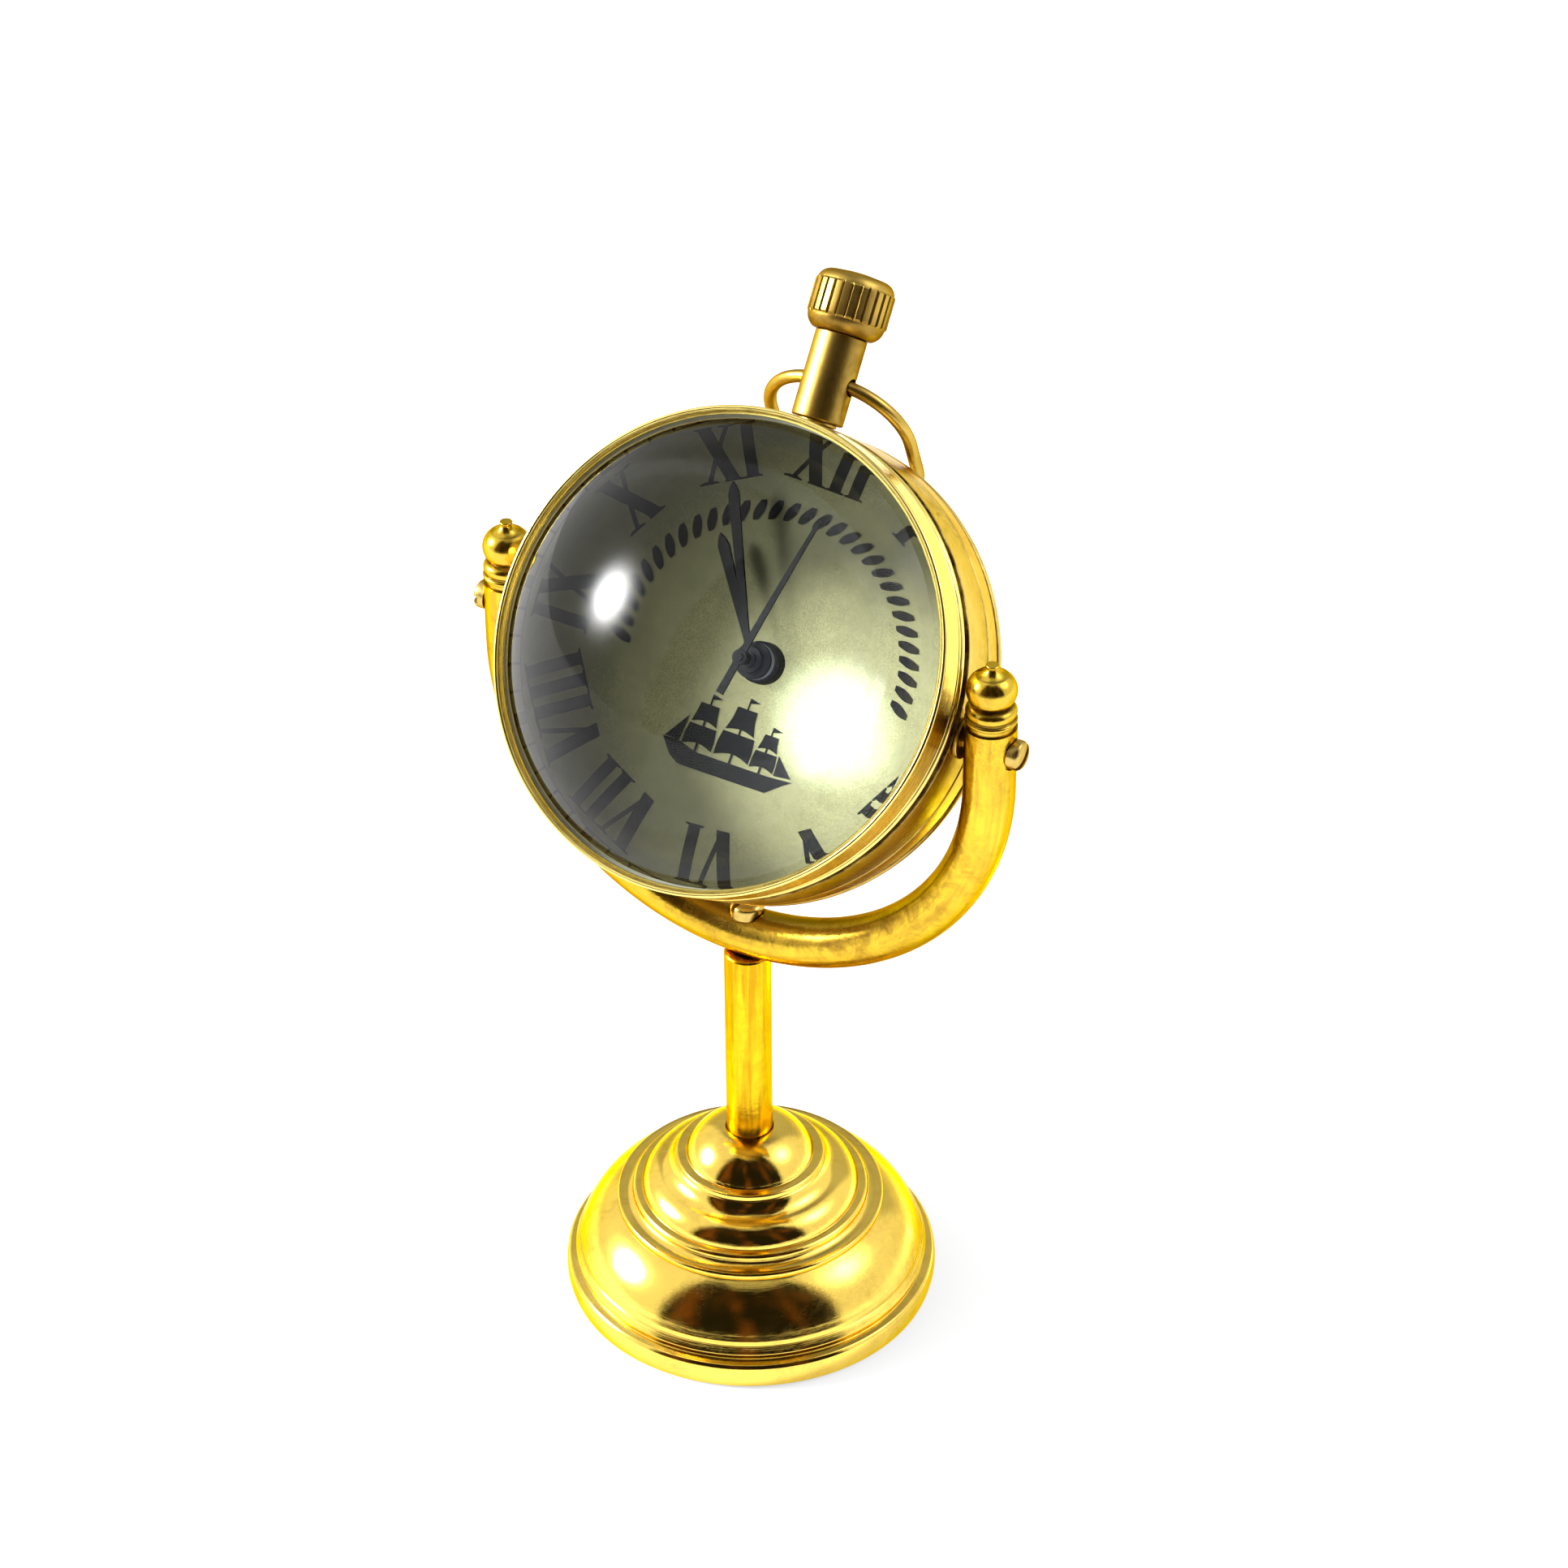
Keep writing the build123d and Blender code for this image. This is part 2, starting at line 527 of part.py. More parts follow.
# ==== stem, crown and bow ===========================================================================
with BuildPart() as stem:
    with BuildSketch(STEM_FLAT.offset(STEM_FOOT)):
        Circle(STEM_RADIUS)
    extrude(amount=STEM_TOP - STEM_FOOT)
    # tapped foot, cross hole of the bow, bore of the crown's spindle
    with BuildSketch(STEM_FLAT.offset(STEM_FOOT)):
        Circle(SPINDLE_RADIUS + FIXED_GAP)
    extrude(amount=4.0, mode=Mode.SUBTRACT)
    with BuildSketch(Plane(origin=STEM_BASE + FACE_UP * BOW_HOLE, x_dir=FACE_UP, z_dir=RIGHT)):
        Circle(1.45)
    extrude(amount=6.0, both=True, mode=Mode.SUBTRACT)
    with BuildSketch(STEM_FLAT.offset(STEM_TOP)):
        Circle(SPINDLE_RADIUS + RUNNING_GAP)
    extrude(amount=-5.7, mode=Mode.SUBTRACT)
stem.part.label = "stem"
export_step(stem.part, "parts/stem.step")

with BuildPart() as stem_washer:
    with BuildSketch(STEM_FLAT.offset(CASE_RADIUS)):
        Circle(3.3)
        Circle(SPINDLE_RADIUS + FIXED_GAP, mode=Mode.SUBTRACT)
    extrude(amount=STEM_FOOT - CASE_RADIUS)
stem_washer.part.label = "stem_washer"
export_step(stem_washer.part, "parts/stem_washer.step")

with BuildPart() as stem_screw:
    with BuildSketch(STEM_FLAT.offset(31.4)):
        Circle(2.6)
    extrude(amount=1.85)
    fillet(stem_screw.edges().sort_by(STEM_AXIS)[0], radius=0.8)
    with BuildSketch(STEM_FLAT.offset(31.4)):
        Rectangle(7.0, 0.8)
    extrude(amount=0.9, mode=Mode.SUBTRACT)
    with BuildSketch(STEM_FLAT.offset(33.25)):
        Circle(SPINDLE_RADIUS)
    extrude(amount=9.0)
stem_screw.part.label = "stem_screw"
export_step(stem_screw.part, "parts/stem_screw.step")

with BuildPart() as crown:
    with BuildSketch(STEM_SECTION):
        with BuildLine():
            spindle = Polyline((0, CROWN_TOP), (0, 47.0), (SPINDLE_RADIUS, 47.0),
                               (SPINDLE_RADIUS, CROWN_FOOT), (4.75, CROWN_FOOT))
            under = ThreePointArc(spindle @ 1, (5.75, 53.35), (6.2, KNURL_FOOT - 0.25))
            band = Polyline(under @ 1, (CROWN_RADIUS, KNURL_FOOT), (CROWN_RADIUS, KNURL_TOP),
                            (6.2, KNURL_TOP + 0.2))
            shoulder = ThreePointArc(band @ 1, (5.65, 61.3), (4.3, 61.95))
            Polyline(shoulder @ 1, (2.0, CROWN_TOP - 0.07), (0, CROWN_TOP))
        make_face()
    revolve(axis=STEM_AXIS)
    with BuildSketch(STEM_FLAT.offset(KNURL_FOOT - 0.9)):
        with PolarLocations(CROWN_RADIUS + 0.12, FLUTES, start_angle=180 / FLUTES):
            Circle(0.42)
    extrude(amount=KNURL_TOP - KNURL_FOOT + 1.8, mode=Mode.SUBTRACT)
crown.part.label = "crown"
export_step(crown.part, "parts/crown.step")

# Bow: both ends of the wire sit in the stem's cross hole, and it hangs behind the case at rest.
lean = math.radians(BOW_LEAN)
entry = math.radians(BOW_ENTRY)
BOW_PLANE = Plane(origin=STEM_BASE + FACE_UP * BOW_HOLE, x_dir=RIGHT,
                  z_dir=FACE_UP * math.cos(lean) - FACE_OUT * math.sin(lean))
stub_start = (3.0, -0.7 * math.tan(entry))
stub_end = (4.3, 0.6 * math.tan(entry))
bow_bend = (BOW_HALF - stub_end[0]) / (1 - math.sin(entry))
with BuildPart() as bow:
    with BuildLine(BOW_PLANE) as bow_path:
        right_stub = Line(stub_start, stub_end)
        right_bend = JernArc(right_stub @ 1, right_stub % 1, bow_bend, 90 - BOW_ENTRY)
        right_side = PolarLine(right_bend @ 1, 6.0, direction=right_bend % 1)
        back_bend = JernArc(right_side @ 1, right_side % 1, BOW_HALF, 180)
        left_side = PolarLine(back_bend @ 1, 6.0, direction=back_bend % 1)
        left_bend = JernArc(left_side @ 1, left_side % 1, bow_bend, 90 - BOW_ENTRY)
        Line(left_bend @ 1, (-stub_start[0], stub_start[1]))
    with BuildSketch(Plane(origin=bow_path.line @ 0, z_dir=bow_path.line % 0)):
        Circle(WIRE_RADIUS)
    sweep()
bow.part.label = "bow"
export_step(bow.part, "parts/bow.step")

# ==== pivots ========================================================================================
# The screws are fast in the drum and turn in the arms. Each head bears on its arm's flat seat.
HEAD_GAP = 0.1
with BuildPart() as pivot_screws:
    for side, slot_turn in ((-1, 0), (1, 70)):
        seat_plane = Plane(origin=(side * (PIVOT_SEAT + HEAD_GAP), 0, PIVOT_HEIGHT),
                           x_dir=(0, 1, 0), z_dir=(side, 0, 0))
        with BuildSketch(seat_plane):
            Circle(2.4)
        extrude(amount=2.3)
        fillet(pivot_screws.edges().sort_by(Axis.X)[-1 if side > 0 else 0], radius=1.2)
        with BuildSketch(seat_plane.offset(1.3)):
            Rectangle(7.0, 0.8, rotation=slot_turn)
        extrude(amount=2.0, mode=Mode.SUBTRACT)
        with BuildSketch(seat_plane):
            Circle(PIVOT_SCREW_RADIUS)
        extrude(amount=-12.4)
pivot_screws.part.label = "pivot_screws"
export_step(pivot_screws.part, "parts/pivot_screws.step")

with BuildPart() as pivot_washers:
    for side in (-1, 1):
        with BuildSketch(ACROSS.offset(side * (CASE_RADIUS + 0.05))):
            Circle(3.2)
            Circle(PIVOT_SCREW_RADIUS + FIXED_GAP, mode=Mode.SUBTRACT)
        extrude(amount=side * 0.6)
pivot_washers.part.label = "pivot_washers"
export_step(pivot_washers.part, "parts/pivot_washers.step")
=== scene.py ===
import json
import math

import bmesh
import bpy
from mathutils import Matrix, Vector


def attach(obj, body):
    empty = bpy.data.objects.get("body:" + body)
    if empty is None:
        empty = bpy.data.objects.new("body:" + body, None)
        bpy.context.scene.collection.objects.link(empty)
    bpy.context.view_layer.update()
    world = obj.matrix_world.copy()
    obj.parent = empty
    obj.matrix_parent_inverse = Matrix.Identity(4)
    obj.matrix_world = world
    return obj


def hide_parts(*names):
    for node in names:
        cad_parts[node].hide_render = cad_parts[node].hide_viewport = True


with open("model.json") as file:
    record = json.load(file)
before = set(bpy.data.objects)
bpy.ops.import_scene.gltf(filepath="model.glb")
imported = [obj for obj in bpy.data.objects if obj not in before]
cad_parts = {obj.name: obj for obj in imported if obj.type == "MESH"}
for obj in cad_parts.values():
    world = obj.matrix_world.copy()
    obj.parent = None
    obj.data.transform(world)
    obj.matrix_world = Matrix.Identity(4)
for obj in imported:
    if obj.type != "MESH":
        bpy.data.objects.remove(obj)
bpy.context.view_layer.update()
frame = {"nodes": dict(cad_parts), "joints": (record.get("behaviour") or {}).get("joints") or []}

# A brass desk clock with a domed glass, which tilts in a yoke on a turned base.
#
# Outlines are in millimetres, each in the frame of its own part: STAND, CASE, STEM, BOW or a screw's frame.
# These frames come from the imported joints, and turn millimetres into metres in the row frame.
MM = 0.001
TAU = 2 * math.pi
TINY = 1e-6

# ---- frames of the parts ----
X, Y, Z = Vector((1, 0, 0)), Vector((0, 1, 0)), Vector((0, 0, 1))
joints = {joint["name"]: joint for joint in frame["joints"]}
pivot = Vector(joints["case_tilt"]["pos_m"])
centre = Vector(joints["hour_turn"]["pos_m"])
stem_base = Vector(joints["crown_turn"]["pos_m"])
bow_hole = Vector(joints["bow_swing"]["pos_m"])
out = Vector(joints["hour_turn"]["axis"]).normalized()
up = Vector(joints["crown_turn"]["axis"]).normalized()
BOW_LEAN = math.radians(31.0)
bow_down = (-out * math.cos(BOW_LEAN) - up * math.sin(BOW_LEAN)).normalized()


def axes(origin, x, y, z):
    """Matrix from millimetres along x, y and z to metres in the row frame."""
    matrix = Matrix.Identity(4)
    for row in range(3):
        for column, direction in enumerate((x, y, z)):
            matrix[row][column] = direction[row] * MM
        matrix[row][3] = origin[row]
    return matrix


STAND = axes(Vector((0, 0, 0)), X, Y, Z)
CASE = axes(centre, X, up, out)                  # z counts out of the dial
STEM = axes(stem_base, X, -out, up)              # z counts along the stem
BOW = axes(bow_hole, X, bow_down, X.cross(bow_down))
RIGHT_SCREW = axes(pivot, Y, Z, X)               # z counts outwards along the pivots
LEFT_SCREW = axes(pivot, -Y, Z, -X)

# ---- driving sizes ----
YOKE_BAR = 4.1           # radius of the yoke's round bar
YOKE_REACH = 42.9        # from the middle to the arms' centre lines
BEND_HEIGHT = 114.75     # where the yoke's arms start to bend
ARM_TOP = 126.0
DIAL = -2.95             # printed face of the dial
DOME_RADIUS = 36.5
DOME_RIM = 11.7          # where the dome leaves the bezel
DOME_RISE = 17.99
GLASS_BACK = 6.0
BOW_WIRE = 1.05
BOW_HALF = 12.4          # half the bow's width, to the wire's centre line

# ---- outlines ----
LEAST_TURN = math.radians(14)


def arc(a, b, c, steps=10):
    """Points from a to c on the circle through a, b and c, without a itself."""
    (ax, ay), (bx, by), (cx, cy) = a, b, c
    a2, b2, c2 = ax**2 + ay**2, bx**2 + by**2, cx**2 + cy**2
    d = 2 * (ax * (by - cy) + bx * (cy - ay) + cx * (ay - by))
    middle_x = (a2 * (by - cy) + b2 * (cy - ay) + c2 * (ay - by)) / d
    middle_y = (a2 * (cx - bx) + b2 * (ax - cx) + c2 * (bx - ax)) / d
    start, halfway, end = (math.atan2(y - middle_y, x - middle_x) for x, y in (a, b, c))
    turn = (end - start) % TAU
    if (halfway - start) % TAU > turn:
        turn -= TAU
    radius = math.hypot(ax - middle_x, ay - middle_y)
    angles = [start + turn * k / steps for k in range(1, steps + 1)]
    return [(middle_x + radius * math.cos(angle), middle_y + radius * math.sin(angle)) for angle in angles]


def rounded(before, point, after, radius):
    """The point alone, or a short curve in its place where the outline turns clearly."""
    corner = Vector(point)
    back, ahead = Vector(before) - corner, Vector(after) - corner
    if min(back.length, ahead.length, abs(corner.x)) < TINY:
        return [point]
    back_way, ahead_way = back.normalized(), ahead.normalized()
    if back_way.angle(-ahead_way) < LEAST_TURN:
        return [point]
    reach = min(radius, back.length * 0.4, ahead.length * 0.4)
    first, last = corner + back_way * reach, corner + ahead_way * reach
    return [tuple(first * (1 - t) ** 2 + corner * 2 * t * (1 - t) + last * t**2)
            for t in (0, 1 / 3, 2 / 3, 1)]


def soften(outline, radius, closed):
    """Rounds the outline's clear corners by up to radius. Its open ends and points on the axis stay."""
    if not radius:
        return outline
    made = []
    for i, point in enumerate(outline):
        if not closed and i in (0, len(outline) - 1):
            made.append(point)
        else:
            made += rounded(outline[i - 1], point, outline[(i + 1) % len(outline)], radius)
    return made


# ---- meshes ----
UV_PER_MM = 0.1
SHARP = 32               # edges that turn more degrees than this stay sharp
collection = bpy.context.scene.collection


def new_object(name, bm, matrix):
    """Object made of the bmesh, with its faces moved by matrix and facing outwards."""
    bm.transform(matrix)
    bmesh.ops.recalc_face_normals(bm, faces=bm.faces)
    mesh = bpy.data.meshes.new(name)
    bm.to_mesh(mesh)
    bm.free()
    obj = bpy.data.objects.new(name, mesh)
    collection.objects.link(obj)
    return obj


def smooth(mesh, sharp=SHARP):
    mesh.polygons.foreach_set("use_smooth", [True] * len(mesh.polygons))
    mesh.set_sharp_from_angle(angle=math.radians(sharp))


def add_piece(name, bm, matrix, material, body, nodes=(), sharp=SHARP):
    """Makes the bmesh a piece that rides on a body and stands for the CAD nodes."""
    obj = new_object(name, bm, matrix)
    smooth(obj.data, sharp)
    obj.data.materials.append(material)
    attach(obj, body)
    if nodes:
        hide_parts(*nodes)
    return obj


def turned_ring(bm, radius, height, steps, shape):
    """Ring of vertices round z, or one vertex where the radius is nought."""
    if radius < TINY:
        return [bm.verts.new((0, 0, height))]
    ring = []
    for k in range(steps):
        angle = TAU * k / steps
        reach = shape(angle, radius, height) if shape else radius
        ring.append(bm.verts.new((reach * math.cos(angle), reach * math.sin(angle), height)))
    return ring


def band_corners(near, far, k, after):
    """Corners of one face between two rings: (vertex, steps round, 0 on near or 1 on far)."""
    if len(near) == 1:
        return [(near[0], k + 0.5, 0), (far[k], k, 1), (far[after], k + 1, 1)]
    if len(far) == 1:
        return [(near[k], k, 0), (far[0], k + 0.5, 1), (near[after], k + 1, 0)]
    return [(near[k], k, 0), (far[k], k, 1), (far[after], k + 1, 1), (near[after], k + 1, 0)]


def lathe_into(bm, outline, closed, steps, shape=None):
    """Adds a body turned round z. shape(angle, radius, height) may change a point's radius.

    u of its UV map runs round it, and v along its outline.
    """
    uv = bm.loops.layers.uv.verify()
    rings = [turned_ring(bm, radius, height, steps, shape) for radius, height in outline]
    along = [0.0]
    for (r0, h0), (r1, h1) in zip(outline, outline[1:]):
        along.append(along[-1] + math.hypot(r1 - r0, h1 - h0))
    along.append(along[-1] + 1.0)
    widest = max(radius for radius, _ in outline)
    for i in range(len(rings) if closed else len(rings) - 1):
        near, far = rings[i], rings[(i + 1) % len(rings)]
        if len(near) == len(far) == 1:
            continue
        for k in range(steps):
            corners = band_corners(near, far, k, (k + 1) % steps)
            face = bm.faces.new([vertex for vertex, _, _ in corners])
            for loop, (_, turn, side) in zip(face.loops, corners):
                loop[uv].uv = (turn / steps * TAU * widest * UV_PER_MM, along[i + side] * UV_PER_MM)


def lathe(name, outline, matrix, material, body, nodes=(), closed=True, steps=160, edge=0.12, shape=None,
          sharp=SHARP):
    """Turned piece. Its clear corners are rounded by up to edge millimetres."""
    bm = bmesh.new()
    lathe_into(bm, soften(outline, edge, closed), closed, steps, shape)
    return add_piece(name, bm, matrix, material, body, nodes, sharp)


def bar_into(bm, path, radius, normal, sides):
    """Adds a round bar along a flat path, square to normal. u of its UV map runs along it, v round it."""
    uv = bm.loops.layers.uv.verify()
    angles = [TAU * k / sides for k in range(sides)]
    rings = []
    for i, point in enumerate(path):
        along = (path[min(i + 1, len(path) - 1)] - path[max(i - 1, 0)]).normalized()
        side = along.cross(normal).normalized()
        rings.append([bm.verts.new(point + (side * math.cos(angle) + normal * math.sin(angle)) * radius)
                      for angle in angles])
    lengths = [0.0]
    for start, end in zip(path, path[1:]):
        lengths.append(lengths[-1] + (end - start).length)
    for i in range(len(path) - 1):
        for k in range(sides):
            after = (k + 1) % sides
            face = bm.faces.new((rings[i][k], rings[i][after], rings[i + 1][after], rings[i + 1][k]))
            for loop, (turn, ring) in zip(face.loops, ((k, i), (k + 1, i), (k + 1, i + 1), (k, i + 1))):
                loop[uv].uv = (lengths[ring] * UV_PER_MM, turn / sides * TAU * radius * UV_PER_MM)
    bm.faces.new(rings[0])
    bm.faces.new(list(reversed(rings[-1])))


def rod(radius, low, high, matrix):
    """Round cutter along z."""
    bm = bmesh.new()
    lathe_into(bm, [(0, low), (radius, low), (radius, high), (0, high)], False, 48)
    return new_object("cutter", bm, matrix)


def slab(width, depth, low, high, matrix):
    """Box cutter centred on z."""
    bm = bmesh.new()
    bmesh.ops.create_cube(bm, size=1.0)
    size = Matrix.Diagonal((width, depth, high - low, 1))
    bm.transform(Matrix.Translation((0, 0, (low + high) / 2)) @ size)
    return new_object("cutter", bm, matrix)


def cut(obj, *cutters):
    """Subtracts each cutter from obj and removes the cutter."""
    for cutter in cutters:
        modifier = obj.modifiers.new("cut", "BOOLEAN")
        modifier.operation = "DIFFERENCE"
        modifier.solver = "EXACT"
        modifier.object = cutter
        bpy.context.view_layer.update()
        shape = bpy.data.meshes.new_from_object(obj.evaluated_get(bpy.context.evaluated_depsgraph_get()))
        obj.modifiers.clear()
        obj.data = shape
        bpy.data.objects.remove(cutter)
    smooth(obj.data)


# ---- nodes ----


class Nodes:
    """Wires a node tree. Each value is a number, a vector, a colour or another node's output."""

    def __init__(self, tree):
        self.tree = tree
        tree.nodes.clear()

    def feed(self, socket, value):
        if isinstance(value, bpy.types.NodeSocket):
            self.tree.links.new(value, socket)
        else:
            socket.default_value = value

    def new(self, kind, inputs, **settings):
        node = self.tree.nodes.new(kind)
        for key, value in settings.items():
            setattr(node, key, value)
        for key, value in inputs.items():
            self.feed(node.inputs[key], value)
        return node

    def math(self, operation, a, b=0.0, clamp=False):
        return self.new("ShaderNodeMath", {0: a, 1: b}, operation=operation, use_clamp=clamp).outputs[0]

    def times(self, *factors, clamp=False):
        product = factors[0]
        for factor in factors[1:]:
            product = self.math("MULTIPLY", product, factor, clamp)
        return product

    def dot(self, vector, axis):
        inputs = {0: vector, 1: tuple(axis)}
        return self.new("ShaderNodeVectorMath", inputs, operation="DOT_PRODUCT").outputs["Value"]

    def step(self, value, low, high):
        """Smooth step from 0 at low to 1 at high."""
        inputs = {"Value": value, "From Min": low, "From Max": high}
        return self.new("ShaderNodeMapRange", inputs, clamp=True, interpolation_type="SMOOTHSTEP").outputs[0]

    def noise(self, vector, scale=1.0, detail=3.0, rough=0.5, bent=0.0):
        inputs = {"Vector": vector, "Scale": scale, "Detail": detail, "Roughness": rough, "Distortion": bent}
        return self.new("ShaderNodeTexNoise", inputs).outputs["Fac"]

    def ramp(self, value, stops):
        """Ramp through stops of (place, grey or colour)."""
        node = self.new("ShaderNodeValToRGB", {"Fac": value})
        elements = node.color_ramp.elements
        while len(elements) < len(stops):
            elements.new(0.5)
        for element, (place, shade) in zip(elements, stops):
            element.position = place
            element.color = (*shade, 1) if isinstance(shade, tuple) else (shade, shade, shade, 1)
        return node.outputs["Color"]

    def mix(self, factor, a, b, blend="MIX"):
        node = self.new("ShaderNodeMix", {"Factor": factor}, data_type="RGBA", blend_type=blend)
        sockets = [socket for socket in node.inputs if socket.type == "RGBA"]
        for socket, value in zip(sockets, (a, b)):
            self.feed(socket, value if isinstance(value, bpy.types.NodeSocket) else (*value, 1))
        return next(socket for socket in node.outputs if socket.type == "RGBA")


class Surface(Nodes):
    """A material's nodes, with the colour, roughness and normal that its layers build up."""

    def __init__(self, name, color=None, roughness=None):
        self.material = bpy.data.materials.new(name)
        self.material.use_nodes = True
        super().__init__(self.material.node_tree)
        self.coordinates = self.new("ShaderNodeTexCoord", {})
        self.mm = self.place((1000, 1000, 1000))
        self.color = color
        self.roughness = roughness
        self.normal = None

    def place(self, scale, source="Object"):
        inputs = {"Vector": self.coordinates.outputs[source], "Scale": scale}
        return self.new("ShaderNodeMapping", inputs).outputs["Vector"]

    def along(self, axis, origin):
        """Millimetres from origin along axis."""
        dot = self.dot(self.coordinates.outputs["Object"], axis)
        return self.times(self.math("SUBTRACT", dot, Vector(origin).dot(Vector(axis))), 1000.0)

    def roughen(self, factor, amount):
        self.roughness = self.math("ADD", self.times(factor, amount), self.roughness, clamp=True)

    def cover(self, factor, color, roughening=0.0):
        """Lays color over the surface where factor is 1, and makes it rougher there."""
        self.color = self.mix(factor, self.color, color)
        if roughening:
            self.roughen(factor, roughening)

    def emboss(self, height, distance, strength):
        """Adds a bump of up to distance metres."""
        inputs = {"Height": height, "Distance": distance, "Strength": strength}
        if self.normal is not None:
            inputs["Normal"] = self.normal
        self.normal = self.new("ShaderNodeBump", inputs).outputs["Normal"]

    def show(self, shader):
        self.new("ShaderNodeOutputMaterial", {"Surface": shader.outputs[0]})
        return self.material

    def finish(self, inputs):
        """Feeds the layers and the other inputs to a Principled shader."""
        layers = {"Base Color": self.color, "Roughness": self.roughness}
        if self.normal is not None:
            layers["Normal"] = self.normal
        return self.show(self.new("ShaderNodeBsdfPrincipled", {**layers, **inputs}))


# ---- brass ----
SPECK_BROWN = (0.10, 0.055, 0.02)
CRACK_BROWN = (0.07, 0.035, 0.012)
DIRT_BROWN = (0.085, 0.042, 0.010)
# colour of the painted reflection of the dark case on the yoke's inner side
INNER_REFLECTION_BROWN = (0.10, 0.05, 0.008)


def add_stain(n, haze, amount, brown, roughening):
    """Drifting brown clouds, which make the brass duller."""
    drift = n.ramp(n.noise(n.mm, 0.07, 4, 0.6, 0.6), [(0.42, 0.0), (0.68, 1.0)])
    n.cover(n.times(drift, n.ramp(haze, [(0.35, 0.1), (0.7, 1.0)]), amount, clamp=True), brown, roughening)


def add_streaks(n, scale, amount, brown):
    """Brown runs, stretched over the UV map by scale."""
    runs = n.ramp(n.noise(n.place(scale, "UV"), 1.0, 4, 0.6, 0.4), [(0.44, 0.0), (0.62, 1.0)])
    n.cover(n.times(runs, amount, clamp=True), brown)


def add_shade(n, haze, shade, origin, brown):
    """Brown darkening that grows along a direction, from clean to dull millimetres past origin. On the case,
    its back and the crown's underside it is painted shade.
    """
    direction, clean, dull, amount = shade
    depth = n.step(n.along(direction, origin), clean, dull)
    n.cover(n.times(depth, n.ramp(haze, [(0.3, 0.55), (0.6, 1.0)]), amount, clamp=True), brown)


def add_painted_inner_reflection(n, haze, amount):
    """Painted reflection of the dark case: dark, ragged brown on the inner side of the yoke's bend, where the
    UV map's v is near nought.
    """
    v = n.new("ShaderNodeSeparateXYZ", {0: n.coordinates.outputs["UV"]}).outputs[1]
    facing = n.math("COSINE", n.times(v, 1 / (YOKE_BAR * UV_PER_MM)))
    ragged = n.math("ADD", facing, n.times(n.math("SUBTRACT", haze, 0.5), 0.9))
    n.cover(n.times(n.ramp(ragged, [(0.16, 0.0), (0.62, 1.0)]), amount, clamp=True), INNER_REFLECTION_BROWN)


def add_turning_lines(n, amount):
    """Fine lines round the piece, left by turning and polishing."""
    lines = n.noise(n.place((0.6, 55, 1), "UV"), 1.0, 3, 0.7)
    scratches = n.noise(n.place((1.5, 160, 1), "UV"), 1.0, 2, 0.6)
    n.roughen(lines, amount * 0.16)
    n.emboss(lines, 0.00002, amount)
    n.emboss(scratches, 0.000008, amount)


def add_specks(n, amount):
    """Fine dark specks in patches."""
    cells = n.new("ShaderNodeTexVoronoi", {"Vector": n.mm, "Scale": 1.1, "Randomness": 1.0})
    dots = n.ramp(cells.outputs["Distance"], [(0.05, 1.0), (0.13, 0.0)])
    patches = n.ramp(n.noise(n.mm, 0.16, 3, 0.6), [(0.52, 0.0), (0.66, 1.0)])
    n.cover(n.times(dots, patches, amount, clamp=True), SPECK_BROWN, 0.3)


def add_waves(n, amount):
    """Slightly uneven polish."""
    n.emboss(n.noise(n.mm, 0.22, 2, 0.5), 0.0004, amount * 0.25)
    n.emboss(n.noise(n.mm, 1.4, 2, 0.5), 0.00005, amount * 0.5)


def add_crackle(n, amount):
    """Thin dark cracks in a few patches."""
    thin = n.ramp(n.noise(n.mm, 0.9, 6, 0.75, 1.8), [(0.485, 0.0), (0.5, 1.0), (0.515, 0.0)])
    patches = n.ramp(n.noise(n.mm, 0.045, 3, 0.7, 1.0), [(0.53, 0.0), (0.60, 1.0)])
    n.cover(n.times(thin, patches, amount, clamp=True), CRACK_BROWN, 0.4)


def add_groove_dirt(n, grooves, axis, origin, amount):
    """Dirt in grooves, each (place, half width) in millimetres along axis from origin."""
    place = n.along(axis, origin)
    dirt = 0.0
    for middle, half_width in grooves:
        gap = n.math("ABSOLUTE", n.math("SUBTRACT", place, middle))
        dirt = n.math("MAXIMUM", dirt, n.math("SUBTRACT", 1.0, n.math("DIVIDE", gap, half_width), clamp=True))
    uneven = n.ramp(n.noise(n.mm, 0.25, 4, 0.6), [(0.3, 0.25), (0.62, 1.0)])
    n.cover(n.times(dirt, uneven, amount, clamp=True), DIRT_BROWN, 0.3)


def brass(name, bright, brown, rough, tarnish, specks, turning, wave, edge=(0.80, 0.60, 0.25),
          roughening=0.2, streak=0.0, streak_scale=None, shade=None, inner=0.0, crackle=0.0, grooves=(),
          dirt=1.25, axis=Z, origin=(0, 0, 0)):
    """Brass with the wear that its layers give. shade darkens it along a direction, which is painted shade on
    some finishes, and inner lays a painted reflection of the dark case on the yoke's inner side. edge is its
    colour at a glancing angle.
    """
    n = Surface(name, bright, rough)
    haze = n.noise(n.mm, 0.35, 6, 0.65, 1.2)
    add_stain(n, haze, tarnish, brown, roughening)
    if streak:
        add_streaks(n, streak_scale, streak, brown)
    if shade:
        add_shade(n, haze, shade, origin, brown)
    if inner:
        add_painted_inner_reflection(n, haze, inner)
    add_turning_lines(n, turning)
    add_specks(n, specks)
    add_waves(n, wave)
    if crackle:
        add_crackle(n, crackle)
    if grooves:
        add_groove_dirt(n, grooves, axis, origin, dirt)
    return n.finish({"Metallic": 1.0, "Specular Tint": (*edge, 1)})


